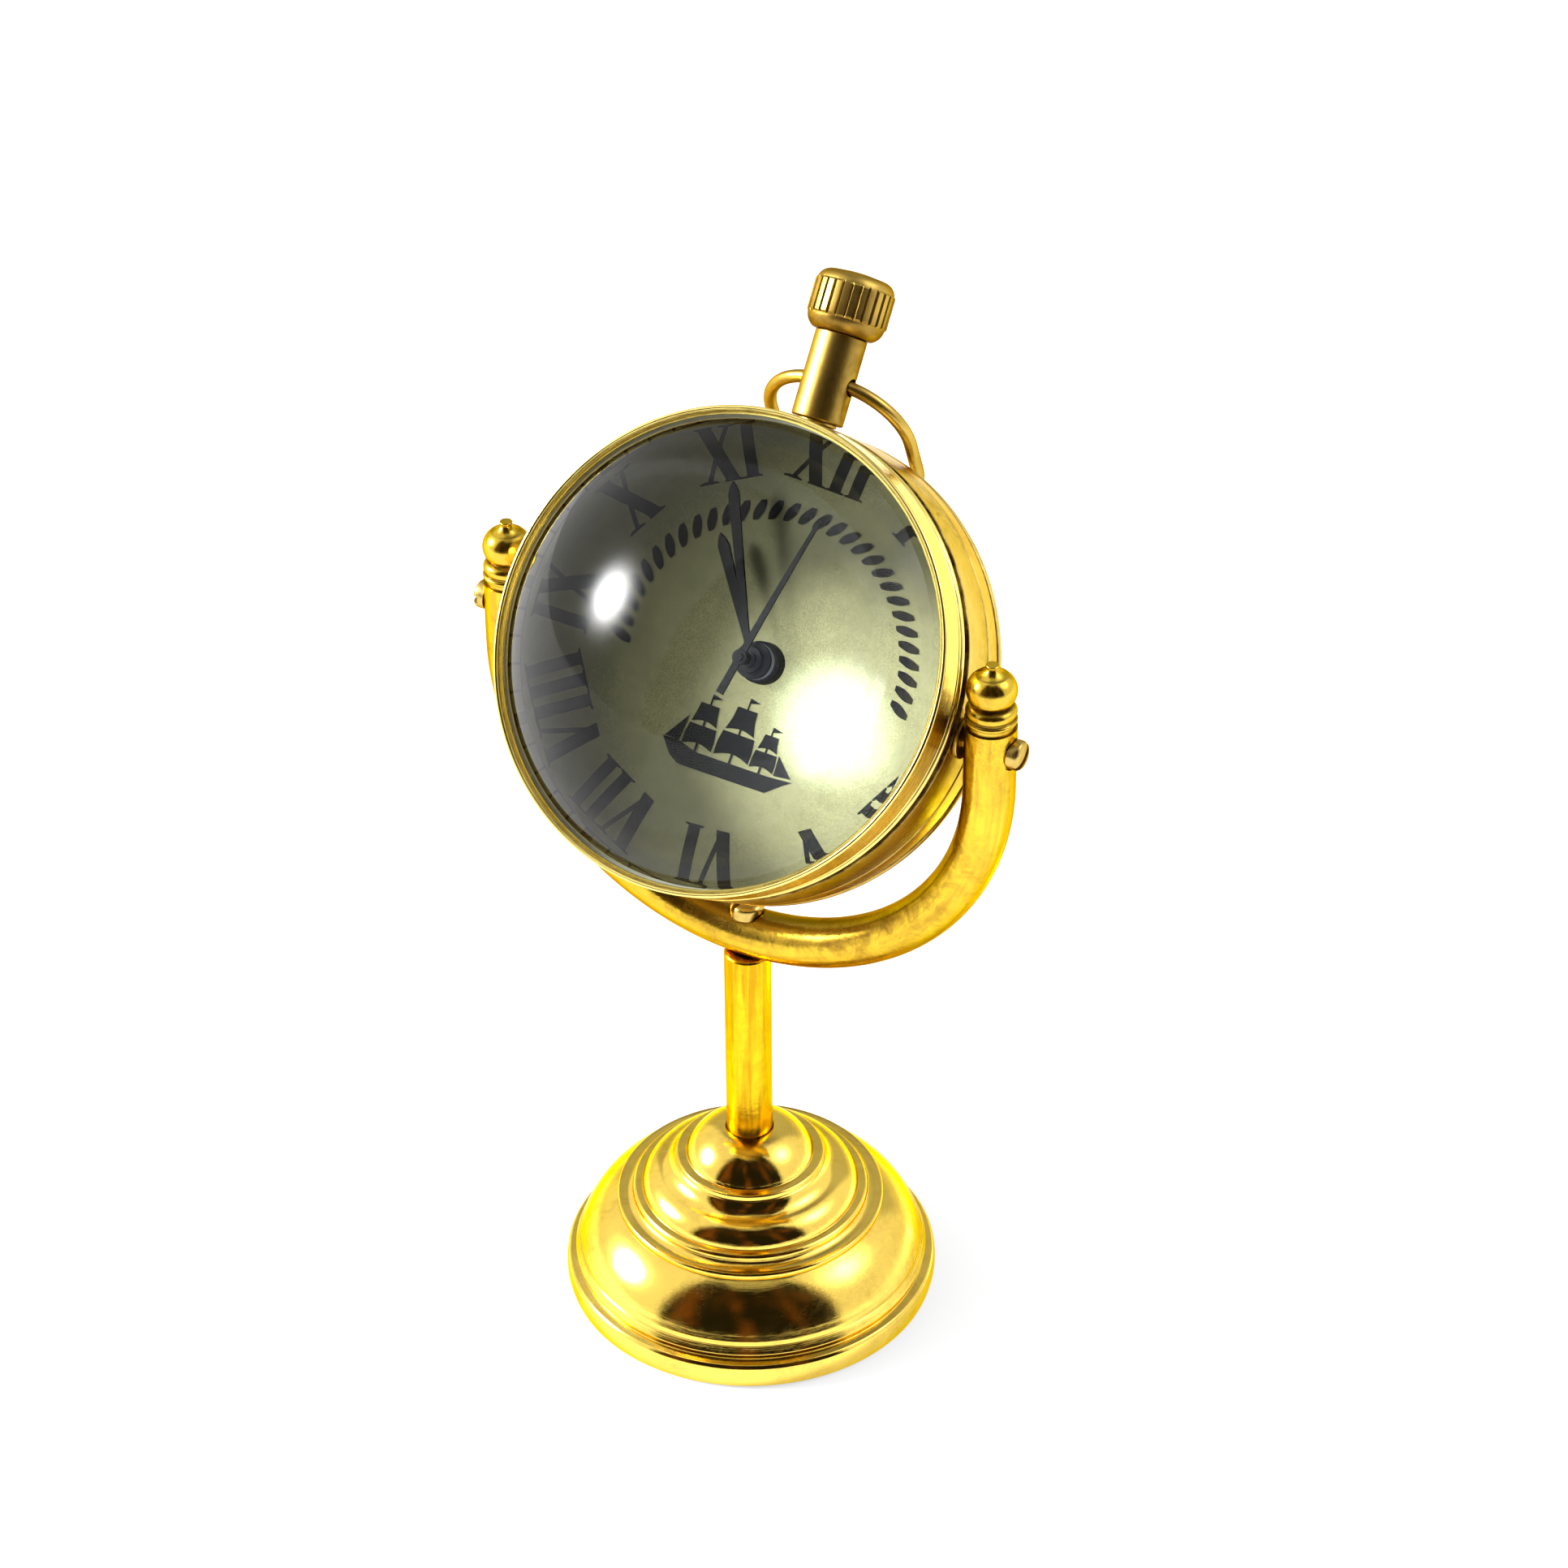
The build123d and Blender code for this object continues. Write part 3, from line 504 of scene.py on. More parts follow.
BASE_GROOVES = [(5.0, 0.35), (6.75, 0.3), (8.6, 0.3), (16.05, 0.3), (17.2, 0.25), (17.75, 0.3), (18.95, 0.25),
                (24.6, 0.4), (25.6, 0.3)]
FINIAL_GROOVES = [(126.0, 0.35), (127.85, 0.3), (130.0, 0.4)]
BEZEL_GROOVES = [(12.62, 0.06), (7.15, 0.28), (6.35, 0.28), (5.75, 0.2), (4.4, 0.4)]
CASE_GROOVES = [(4.4, 0.4), (3.15, 0.35), (-5.05, 0.35)]
BACK_GROOVES = [(-5.4, 0.3), (-9.4, 0.25), (-10.15, 0.3), (-11.9, 0.3)]

brass_base = brass("brass_base", (0.95, 0.67, 0.12), (0.40, 0.20, 0.03), 0.03, tarnish=0.5, specks=0.3,
                   turning=0.45, wave=0.25, crackle=0.5, grooves=BASE_GROOVES, dirt=0.22,
                   edge=(1.0, 0.80, 0.20))
brass_post = brass("brass_post", (0.93, 0.60, 0.015), (0.52, 0.26, 0.008), 0.14, tarnish=0.8, specks=0.9,
                   turning=0.3, wave=0.8, streak=0.8, streak_scale=(6, 0.4, 1))
# on the yoke, inner is a painted reflection of the dark case on the bar's inner side, and shade darkens the
# bottom of the bend
brass_yoke = brass("brass_yoke", (0.86, 0.57, 0.045), (0.30, 0.14, 0.02), 0.17, tarnish=0.9, specks=0.9,
                   turning=0.15, wave=1.1, crackle=0.8, streak=0.4, streak_scale=(0.35, 5, 1), inner=0.6,
                   shade=(Z, 100.0, 72.0, 0.25), edge=(0.60, 0.42, 0.12))
brass_finial = brass("brass_finial", (0.70, 0.47, 0.05), (0.24, 0.12, 0.02), 0.12, tarnish=0.9, specks=0.6,
                     turning=0.5, wave=0.5, grooves=FINIAL_GROOVES, edge=(0.55, 0.40, 0.12))
brass_bezel = brass("brass_bezel", (1.0, 0.81, 0.25), (0.50, 0.30, 0.06), 0.08, tarnish=0.3, specks=0.4,
                    turning=0.6, wave=0.15, grooves=BEZEL_GROOVES, axis=out, origin=centre,
                    edge=(1.0, 0.84, 0.36))
# the case's shade is painted shade, darker towards its lower side
brass_case = brass("brass_case", (0.78, 0.58, 0.18), (0.28, 0.16, 0.03), 0.12, tarnish=0.7, specks=0.4,
                   turning=0.8, wave=0.15, grooves=CASE_GROOVES, axis=out, origin=centre,
                   shade=(-up, -12.0, 26.0, 0.75), edge=(0.62, 0.50, 0.22))
# the back's shade is painted shade, darker towards its lower side
brass_back = brass("brass_back", (0.78, 0.57, 0.16), (0.30, 0.17, 0.03), 0.15, tarnish=0.6, specks=0.4,
                   turning=0.8, wave=0.3, grooves=BACK_GROOVES, axis=out, origin=centre,
                   shade=(-up, -12.0, 26.0, 0.6))
brass_satin = brass("brass_satin", (0.56, 0.38, 0.08), (0.24, 0.14, 0.02), 0.25, tarnish=0.75, specks=0.45,
                    turning=0.6, wave=0.5, roughening=0.12, edge=(0.40, 0.28, 0.09))
brass_stem = brass("brass_stem", (0.56, 0.38, 0.08), (0.20, 0.115, 0.02), 0.25, tarnish=0.75, specks=0.45,
                   turning=0.6, wave=0.5, roughening=0.12, shade=(X, -0.5, 3.6, 0.75), origin=stem_base,
                   edge=(0.40, 0.28, 0.09))
# the crown's shade is painted shade on its underside
brass_crown = brass("brass_crown", (0.50, 0.33, 0.07), (0.22, 0.12, 0.02), 0.27, tarnish=0.75, specks=0.6,
                    turning=0.8, wave=0.4, roughening=0.12, shade=(-up, -57.5, -53.5, 0.85), origin=stem_base,
                    edge=(0.40, 0.28, 0.09))
brass_screw = brass("brass_screw", (0.62, 0.44, 0.12), (0.20, 0.11, 0.02), 0.2, tarnish=0.9, specks=0.8,
                    turning=0.6, wave=0.4, edge=(0.45, 0.33, 0.12))

# ---- other materials ----


def plain(name, color, rough, metallic=0.0, grain=0.6, vary=0.15, specular=0.5):
    """Moulded, painted or rolled surface with a fine grain."""
    n = Surface(name)
    shade = n.ramp(n.noise(n.mm, 0.3, 4, 0.6), [(0.3, 1 - vary), (0.7, 1.0)])
    n.color = n.mix(1.0, color, shade, "MULTIPLY")
    n.roughness = n.math("ADD", n.times(n.noise(n.mm, 0.8, 3, 0.6), 0.15), rough, clamp=True)
    n.emboss(n.noise(n.mm, 2.0, 3, 0.6), 0.00004, grain)
    return n.finish({"Metallic": metallic, "Specular IOR Level": specular})


def clear_glass():
    """Clear glass. Lamp rays pass straight through, so that they reach the dial."""
    n = Surface("glass")
    body = n.new("ShaderNodeBsdfPrincipled", {
        "Base Color": (0.965, 0.985, 0.96, 1), "Roughness": 0.0, "IOR": 1.52, "Transmission Weight": 1.0,
        "Specular Tint": (0.2, 0.2, 0.2, 1)})
    clear = n.new("ShaderNodeBsdfTransparent", {"Color": (0.90, 0.92, 0.88, 1)})
    path = n.new("ShaderNodeLightPath", {})
    straight = n.math("MAXIMUM", path.outputs["Is Shadow Ray"], path.outputs["Is Diffuse Ray"])
    return n.show(n.new("ShaderNodeMixShader", {0: straight, 1: body.outputs[0], 2: clear.outputs[0]}))


def aged_paper():
    """Aged printed paper: khaki, unevenly toned, with a fine grain and fibres."""
    n = Surface("dial_paper", roughness=0.85)
    tone = n.noise(n.mm, 0.05, 3, 0.6, 0.4)
    n.color = n.ramp(tone, [(0.3, (0.082, 0.078, 0.040)), (0.7, (0.112, 0.106, 0.056))])
    blotches = n.ramp(n.noise(n.mm, 0.5, 5, 0.7), [(0.35, 0.86), (0.65, 1.0)])
    n.color = n.mix(1.0, n.color, blotches, "MULTIPLY")
    grain = n.ramp(n.noise(n.mm, 6.0, 2, 0.7), [(0.35, 0.74), (0.65, 1.12)])
    n.color = n.mix(1.0, n.color, grain, "MULTIPLY")
    n.emboss(n.noise(n.place((3000, 500, 1500)), 1.0, 3, 0.6), 0.00003, 0.5)
    return n.finish({"Specular IOR Level": 0.15})


def worn_ink():
    """Black print, a little paler where it is worn."""
    n = Surface("dial_ink", roughness=0.85)
    wear = n.noise(n.mm, 5.0, 3, 0.7)
    n.color = n.ramp(wear, [(0.45, (0.002, 0.002, 0.003)), (0.75, (0.008, 0.008, 0.007))])
    n.emboss(n.noise(n.mm, 4.0, 2, 0.5), 0.00002, 0.3)
    return n.finish({"Specular IOR Level": 0.05})


def black_felt():
    n = Surface("felt_black", roughness=0.95)
    fuzz = n.noise(n.mm, 2.2, 5, 0.8, 0.8)
    n.color = n.ramp(fuzz, [(0.3, (0.008, 0.008, 0.009)), (0.75, (0.035, 0.034, 0.036))])
    n.emboss(fuzz, 0.0002, 0.8)
    return n.finish({"Sheen Weight": 0.4})


glass = clear_glass()
paper = aged_paper()
ink = worn_ink()
felt = black_felt()
hand_black = plain("hand_black", (0.003, 0.003, 0.004), 0.45, grain=0.4, specular=0.06)
steel = plain("steel_plain", (0.55, 0.54, 0.52), 0.3, metallic=1.0, vary=0.25)
aluminium = plain("aluminium_plate", (0.7, 0.7, 0.7), 0.4, metallic=1.0)
plastic_black = plain("plastic_black", (0.02, 0.02, 0.022), 0.45)
rubber_grey = plain("rubber_clear", (0.34, 0.33, 0.28), 0.5)
rubber_black = plain("rubber_black", (0.02, 0.02, 0.02), 0.7)
board_green = plain("board_green", (0.03, 0.2, 0.08), 0.35)
copper = plain("coil_copper", (0.6, 0.25, 0.1), 0.35, metallic=1.0)

# ---- stand ----


def make_base():
    """Turned base: foot, wide dome, two steps and a small dome, hollow from below."""
    line = [(31.1, 0.4)]
    line += arc((31.1, 0.4), (31.5, 2.1), (31.25, 4.3), 14)
    line += [(30.9, 4.75), (29.6, 5.0), (29.6, 5.7), (29.9, 6.1), (29.6, 6.6), (29.35, 7.3), (29.1, 7.4)]
    line += [(29.05, 8.2), (28.75, 8.8)]
    line += arc((28.75, 8.8), (26.25, 12.9), (22.35, 16.0), 24)
    line += [(22.5, 16.1), (22.5, 16.9), (22.2, 17.25)]
    line += arc((22.2, 17.25), (21.0, 17.2), (20.1, 17.6), 8)
    line += [(19.9, 17.8), (19.8, 18.5), (19.4, 18.9), (18.3, 18.9)]
    line += arc((18.3, 18.9), (17.2, 21.05), (15.2, 22.35), 14)
    line += arc((15.2, 22.35), (13.6, 23.2), (12.75, 24.5), 10)
    line += [(12.45, 24.7), (12.4, 25.4), (12.1, 25.6), (10.75, 25.6)]
    line += arc((10.75, 25.6), (8.3, 29.2), (4.6, 31.0), 16)
    line += [(4.0, 31.0), (4.0, 29.5), (2.75, 29.5), (2.75, 23.0), (9.0, 23.0), (14.0, 18.0), (18.5, 14.2)]
    line += [(25.0, 8.0), (26.6, 1.2), (29.8, 1.2), (29.8, 0.4)]
    lathe("base_turning", line, STAND, brass_base, "stand", ["base"], steps=256, edge=0.14)


def make_felt_pad():
    lathe("felt_disc", [(0, 0), (29.5, 0), (29.7, 0.25), (29.7, 0.95), (29.5, 1.15), (0, 1.15)], STAND, felt,
          "stand", ["felt_pad"], closed=False)


def make_post():
    line = [(3.9, 29.5), (3.9, 67.4), (3.6, 67.74), (2.05, 67.74), (2.05, 29.5)]
    lathe("post_bar", line, STAND, brass_post, "stand", ["post"], steps=96)


def make_yoke():
    """U-shaped round bar, with a recess for each screw head."""
    arm = [Vector((-YOKE_REACH, 0, ARM_TOP - k * (ARM_TOP - BEND_HEIGHT) / 8)) for k in range(8)]
    path = list(arm)
    for k in range(121):
        angle = math.pi * k / 120
        path.append(Vector((-YOKE_REACH * math.cos(angle), 0, BEND_HEIGHT - YOKE_REACH * math.sin(angle))))
    path += [Vector((-point.x, 0, point.z)) for point in reversed(arm)]
    bm = bmesh.new()
    bar_into(bm, path, YOKE_BAR, Y, 96)
    yoke = add_piece("yoke_bar", bm, STAND, brass_yoke, "stand", ["yoke"])
    cut(yoke, rod(3.0, 75.35, 79.0, STAND), rod(2.7, 46.5, 50.0, RIGHT_SCREW),
        rod(2.7, -50.0, -46.5, RIGHT_SCREW))


def make_screw_head(name, radius, height, slot_width, slot_turn, matrix, base, body, nodes):
    """Slotted pan head, cut at the origin and then put in place. base is its underside, along z."""
    wall = height * 0.4
    line = [(0, 0), (radius, 0)]
    for k in range(16):
        angle = math.pi / 2 * (1 - k / 16)
        line.append((radius * math.sin(angle), wall + (height - wall) * max(math.cos(angle), 0.0) ** 0.55))
    upright = Matrix.Identity(4)
    bm = bmesh.new()
    lathe_into(bm, line + [(0, height)], False, 64)
    head = add_piece(name, bm, upright, brass_screw, body, nodes)
    cut(head, slab(radius * 3, slot_width, height * 0.42, height + 1, upright))
    head.data.transform(matrix @ Matrix.Translation((0, 0, base)) @ Matrix.Rotation(slot_turn, 4, "Z"))


def make_yoke_screw():
    slot_turn = math.radians(62)
    make_screw_head("yoke_screw_head", 2.8, 2.6, 0.95, slot_turn, STAND, 75.35, "stand", ["yoke_screw"])


def make_pivot_screws():
    """The two screws that carry the case, each with its spacer. The left ones stand for both CAD solids."""
    head_base = 46.6
    shank = [(0, 36.0), (1.5, 36.0), (1.5, head_base), (0, head_base)]
    washer = [(1.55, 38.05), (3.2, 38.05), (3.2, 38.65), (1.55, 38.65)]
    sides = (("right", RIGHT_SCREW, math.radians(40), [], []),
             ("left", LEFT_SCREW, 0.0, ["pivot_screws"], ["pivot_washers"]))
    for side, matrix, slot_turn, nodes, _ in sides:
        make_screw_head("pivot_screw_" + side, 2.4, 2.28, 1.1, slot_turn, matrix, head_base, "case", nodes)
    for side, matrix, _, _, nodes in sides:
        lathe("pivot_shank_" + side, shank, matrix, brass_screw, "case", closed=False, steps=48)
        lathe("pivot_washer_" + side, washer, matrix, brass_satin, "case", nodes, steps=64)


def make_finials():
    """Turned onions on the yoke's arms."""
    line = [(0, ARM_TOP), (3.75, ARM_TOP), (3.75, 126.9)]
    line += arc((3.75, 126.9), (4.1, 127.35), (3.75, 127.8), 10)
    line += arc((3.55, 127.9), (3.98, 128.95), (3.0, 129.95), 14)
    line += [(2.85, 130.05)]
    line += arc((2.85, 130.05), (3.95, 132.7), (2.5, 135.1), 26)
    line += arc((2.5, 135.1), (1.35, 135.75), (0.85, 136.45), 10)
    line += [(1.02, 136.6), (1.05, 136.85), (0.95, 136.98), (0, 136.98)]
    for node, x in (("finial_left", -YOKE_REACH), ("finial_right", YOKE_REACH)):
        lathe(node + "_turning", line, STAND @ Matrix.Translation((x, 0, 0)), brass_finial, "stand", [node],
              closed=False, steps=96, edge=0.1, sharp=50)


# ---- case ----


def make_drum():
    """Middle of the case, with its raised band."""
    line = [(33.4, 5.5), (36.6, 5.5), (36.6, 3.2), (37.8, 3.2), (38.0, 3.0), (38.0, -4.8), (37.8, -5.0)]
    line += [(36.6, -5.0), (36.6, -11.2), (34.3, -11.2), (34.3, -2.9), (33.4, -2.9)]
    lathe("drum_band", line, CASE, brass_case, "case", ["case_drum"], steps=320, edge=0.15)


def make_bezel():
    """Ring that holds the glass: rolled lip, plain wall, and a bead between two grooves."""
    line = [(36.66, 4.4), (36.66, 5.9), (37.0, 5.9), (37.0, 11.5), (36.62, 11.9), (36.66, 12.2)]
    line += [(37.15, 12.66), (37.2, 12.6), (37.24, 12.74), (37.35, 12.85)]
    line += arc((37.35, 12.85), (37.84, 12.84), (37.98, 12.4), 10)
    line += [(37.98, 7.5), (37.7, 7.3), (37.7, 7.0), (37.9, 6.85), (37.9, 6.45), (37.55, 6.3), (37.55, 5.8)]
    line += [(37.75, 5.65)]
    line += arc((37.75, 5.65), (37.98, 5.15), (37.75, 4.65), 8)
    line += [(37.5, 4.4)]
    lathe("bezel_ring", line, CASE, brass_bezel, "case", ["front_bezel"], steps=320, edge=0.07)


def make_lens():
    """Thick glass: flat back, short wall and a dome. Its seal lies under it."""
    ball = (DOME_RADIUS**2 + DOME_RISE**2) / (2 * DOME_RISE)
    rim_angle = math.asin(DOME_RADIUS / ball)
    line = [(36.1 * k / 24, GLASS_BACK) for k in range(25)]
    line += [(36.8, GLASS_BACK + 0.6), (36.8, DOME_RIM - 0.45)]
    for k in range(90):
        angle = rim_angle * (1 - k / 90)
        line.append((ball * math.sin(angle), DOME_RIM + DOME_RISE - ball * (1 - math.cos(angle))))
    line.append((0, DOME_RIM + DOME_RISE))
    lathe("lens_glass", line, CASE, glass, "case", ["lens"], closed=False, steps=256, edge=0.0, sharp=25)
    lathe("lens_seal", [(33.8, 5.55), (36.0, 5.55), (36.0, 5.95), (33.8, 5.95)], CASE, rubber_grey, "case",
          ["lens_gasket"], steps=192)


def make_back_cover():
    """Screwed back with a stepped edge, a slightly domed face and two pin holes."""
    line = [(36.68, -11.6), (36.68, -5.35), (37.6, -5.35), (37.9, -5.65), (37.9, -9.2), (37.45, -9.4)]
    line += [(37.45, -10.1), (37.75, -10.3)]
    line += arc((37.75, -10.3), (37.97, -10.8), (37.5, -11.7), 8)
    line += [(36.4, -12.1), (35.6, -12.2), (35.3, -12.6)]
    line += arc((35.3, -12.6), (18.0, -14.5), (0, -15.1), 24)
    line += [(0, -14.1)]
    line += arc((0, -14.1), (17.0, -13.5), (33.4, -11.8), 12)
    line += [(33.4, -11.6)]
    back = lathe("back_cap", line, CASE, brass_back, "back", ["back_cover"], steps=320, edge=0.1)
    cut(back, *(rod(1.1, -16.0, -13.5, CASE @ Matrix.Translation((0, height, 0))) for height in (25, -25)))


# ---- dial: a paper disc, with its print as thin separate shapes ----
PRINT = CASE @ Matrix.Translation((0, 0.7, DIAL)) @ Matrix.Rotation(math.radians(-1.0), 4, "Z")
HAIR = 0.0002            # each printed shape lies this much above the last, so that no two faces coincide
NUMERAL_FOOT = 20.3
NUMERAL_TALL = 7.4
NUMERAL_STRETCH = 1.16
GLYPH_WIDTH = {"I": 2.0, "V": 4.1, "X": 4.3}
SERIF_THICK = 0.28
TRACK_INNER = 28.8
TRACK_OUTER = 31.5
ROPE_RADIUS = 16.6
ROPE_TALL = 2.3
SHIP = Matrix.Translation((-1.2, -14.4, 0)) @ Matrix.Rotation(math.radians(-3), 4, "Z")


def make_dial_sheet():
    hole, rim, back = 2.25, 34.2, DIAL - 0.15
    line = [(hole, back)] + [(hole + (rim - hole) * k / 16, DIAL) for k in range(17)] + [(rim, back)]
    lathe("dial_sheet", line, CASE, paper, "case", ["dial_paper"], steps=192, edge=0.0)


class Print:
    """Flat printed shapes that become one piece."""

    def __init__(self, height):
        self.bm = bmesh.new()
        self.height = height

    def shape(self, points, matrix):
        self.height += HAIR
        self.bm.faces.new([self.bm.verts.new(matrix @ Vector((x, y, self.height))) for x, y in points])

    def ring(self, inner, outer, steps=240):
        self.height += HAIR
        angles = [TAU * k / steps for k in range(steps)]
        rows = [[self.bm.verts.new((radius * math.cos(a), radius * math.sin(a), self.height)) for a in angles]
                for radius in (inner, outer)]
        for k in range(steps):
            after = (k + 1) % steps
            self.bm.faces.new((rows[0][k], rows[1][k], rows[1][after], rows[0][after]))

    def piece(self, name):
        add_piece(name, self.bm, PRINT, ink, "case", sharp=60)


def round_dial(turn):
    """Matrix of a place on the dial, turned clockwise from the top."""
    return Matrix.Rotation(-turn, 4, "Z")


def add_serif(sheet, matrix, x, foot, half, direction):
    """Bracketed serif: thin line with small fillets towards the stroke."""
    thin, thick = foot + direction * SERIF_THICK * 0.7, foot + direction * SERIF_THICK * 1.3
    sheet.shape([(x - half, foot), (x + half, foot), (x + half, thin), (x + half * 0.45, thick),
                 (x - half * 0.45, thick), (x - half, thin)], matrix)


def add_stroke(sheet, matrix, foot, top, weight):
    """Straight stroke from the numeral's foot line to its top line."""
    half = weight / 2
    sheet.shape([(foot - half, 0), (foot + half, 0), (top + half, NUMERAL_TALL), (top - half, NUMERAL_TALL)],
                matrix)


def add_glyph(sheet, matrix, letter, x):
    if letter == "I":
        add_stroke(sheet, matrix, x, x, 1.2)
        add_serif(sheet, matrix, x, 0, 0.95, 1)
        add_serif(sheet, matrix, x, NUMERAL_TALL, 0.95, -1)
    if letter == "V":
        add_stroke(sheet, matrix, x + 0.15, x - 1.3, 1.35)
        add_stroke(sheet, matrix, x + 0.15, x + 1.35, 0.5)
        add_serif(sheet, matrix, x - 1.3, NUMERAL_TALL, 1.05, -1)
        add_serif(sheet, matrix, x + 1.35, NUMERAL_TALL, 0.8, -1)
    if letter == "X":
        add_stroke(sheet, matrix, x + 1.2, x - 1.2, 1.4)
        add_stroke(sheet, matrix, x - 1.25, x + 1.25, 0.5)
        for side, foot, direction in ((-1, 0, 1), (1, 0, 1), (-1, NUMERAL_TALL, -1), (1, NUMERAL_TALL, -1)):
            add_serif(sheet, matrix, x + side * 1.25, foot, 0.95, direction)


def print_numerals():
    sheet = Print(0.012)
    for hour, letters in enumerate("XII I II III IIII V VI VII VIII IX X XI".split()):
        matrix = (round_dial(TAU * hour / 12) @ Matrix.Translation((0, NUMERAL_FOOT, 0))
                  @ Matrix.Diagonal((NUMERAL_STRETCH, 1, 1, 1)))
        x = -sum(GLYPH_WIDTH[letter] for letter in letters) / 2
        for letter in letters:
            add_glyph(sheet, matrix, letter, x + GLYPH_WIDTH[letter] / 2)
            x += GLYPH_WIDTH[letter]
    sheet.piece("dial_numerals")


def print_minute_track():
    """Two rings with a fine line for each minute and a block for each five."""
    sheet = Print(0.03)
    sheet.ring(TRACK_INNER - 0.05, TRACK_INNER + 0.15)
    sheet.ring(TRACK_OUTER - 0.15, TRACK_OUTER + 0.1)
    for minute in range(60):
        half = 0.75 if minute % 5 == 0 else 0.17
        sheet.shape([(-half, TRACK_INNER), (half, TRACK_INNER), (half, TRACK_OUTER), (-half, TRACK_OUTER)],
                    round_dial(TAU * minute / 60))
    sheet.piece("dial_minute_track")


def print_rope_border():
    """Strands of a laid rope, which take the place of lettering."""
    sheet = Print(0.05)
    rise = [k / 8 for k in range(9)]
    left = [(-0.85 + 1.1 * t - 0.33 * math.sin(math.pi * t), -ROPE_TALL / 2 + ROPE_TALL * t) for t in rise]
    right = [(-0.25 + 1.1 * t + 0.33 * math.sin(math.pi * t), -ROPE_TALL / 2 + ROPE_TALL * t) for t in rise]
    strand = left + right[::-1]
    for k in range(-15, 16):
        sheet.shape(strand, round_dial(math.radians(k * 6.4 - 2.0)) @ Matrix.Translation((0, ROPE_RADIUS, 0)))
    sheet.piece("dial_rope_border")


def add_sail(sheet, middle, low, high, wide_low, wide_high, belly):
    """Square sail whose foot is hollow and whose sides swell."""
    half_low, half_high = wide_low / 2, wide_high / 2
    waist, bulge = (low + high) / 2, half_high + belly * 0.4
    points = [(middle - half_low, low)]
    points += [(middle - half_low + wide_low * t, low + belly * math.sin(math.pi * t))
               for t in (0.2, 0.4, 0.6, 0.8)]
    points += [(middle + half_low, low), (middle + bulge, waist), (middle + half_high, high)]
    points += [(middle - half_high, high), (middle - bulge, waist)]
    sheet.shape(points, SHIP)


def print_ship():
    """Plain three-masted ship of the builder's own drawing."""
    sheet = Print(0.07)
    sheet.shape([(-7.6, 2.5), (-6.2, 0.7), (-5.0, 0.0), (5.6, 0.0), (7.4, 1.5), (8.3, 2.1), (5.2, 1.9),
                 (-3.4, 1.9), (-5.9, 2.6)], SHIP)
    for mast, top in ((-3.6, 8.6), (0.6, 9.6), (4.2, 7.4)):
        sheet.shape([(mast - 0.16, 1.8), (mast + 0.16, 1.8), (mast + 0.1, top), (mast - 0.1, top)], SHIP)
        sheet.shape([(mast, top), (mast + 1.2, top - 0.25), (mast, top - 0.6)], SHIP)
    add_sail(sheet, -3.6, 2.4, 4.9, 3.6, 3.2, 0.5)
    add_sail(sheet, -3.6, 5.1, 7.4, 3.0, 2.2, 0.4)
    add_sail(sheet, 0.6, 2.4, 5.3, 4.2, 3.8, 0.6)
    add_sail(sheet, 0.6, 5.5, 8.3, 3.5, 2.4, 0.4)
    add_sail(sheet, 4.3, 2.3, 4.4, 2.9, 2.6, 0.4)
    add_sail(sheet, 4.3, 4.6, 6.4, 2.4, 1.7, 0.3)
    sheet.shape([(-7.4, 2.6), (-5.7, 2.6), (-5.5, 5.6)], SHIP)
    sheet.shape([(5.9, 2.2), (8.0, 2.4), (5.8, 4.6)], SHIP)
    sheet.piece("dial_ship")


# ---- hands ----


def make_hand(name, outline, low, high, bosses, turn, body, node):
    """Flat hand with slightly lowered edges. bosses are round plates on the axis: (radius, low, high)."""
    bm = bmesh.new()
    matrix = Matrix.Rotation(turn, 4, "Z")
    tops = [bm.verts.new(matrix @ Vector((x, y, high - 0.05 if abs(x) > 0.05 else high))) for x, y in outline]
    feet = [bm.verts.new(matrix @ Vector((x, y, low))) for x, y in outline]
    bm.faces.new(tops)
    bm.faces.new(list(reversed(feet)))
    for i in range(len(outline)):
        k = (i + 1) % len(outline)
        bm.faces.new((feet[i], feet[k], tops[k], tops[i]))
    for radius, foot, top in bosses:
        lathe_into(bm, soften([(0, foot), (radius, foot), (radius, top), (0, top)], 0.1, False), False, 64)
    add_piece(name, bm, CASE, hand_black, body, [node])


def baton(tip, half, widest, foot_half):
    """Outline that widens towards the height `widest` and then tapers to its tip."""
    shoulder = (half * 0.6, (widest + tip) / 2 + 0.1)
    side = [shoulder, (half, widest), (half * 0.86, widest * 0.75), (foot_half, 0)]
    return [(-x, y) for x, y in reversed(side)] + [(0, tip)] + side


def make_hands():
    collar = [(0, -2.96), (2.4, -2.96), (2.4, -2.0), (2.2, -1.8), (1.5, -1.8), (1.5, -1.6), (0, -1.6)]
    lathe("dial_collar", collar, CASE, hand_black, "case", ["movement_nut"], closed=False, steps=64,
          edge=0.08)
    make_hand("hour_baton", baton(15.2, 0.66, 13.7, 0.35), -1.15, -0.8, [(2.15, -1.15, -0.8)],
              math.radians(32.5), "hour", "hour_hand")
    make_hand("minute_baton", baton(21.2, 0.66, 19.6, 0.3), -0.35, -0.05, [(1.6, -0.35, -0.05)],
              math.radians(23.4), "minute", "minute_hand")
    make_hand("second_needle", [(-0.47, -4.9), (0.47, -4.9), (0.23, 19.4), (-0.23, 19.4)], 1.45, 1.7,
              [(0.95, 1.45, 1.7), (0.8, 0.55, 1.45)], math.radians(-14), "second", "second_hand")


# ---- stem, crown and bow ----
FLUTES = 28
FLUTE_DEPTH = 0.30
KNURL_LOW, KNURL_HIGH = 54.9, 60.0
KNURL_RADIUS = 6.45


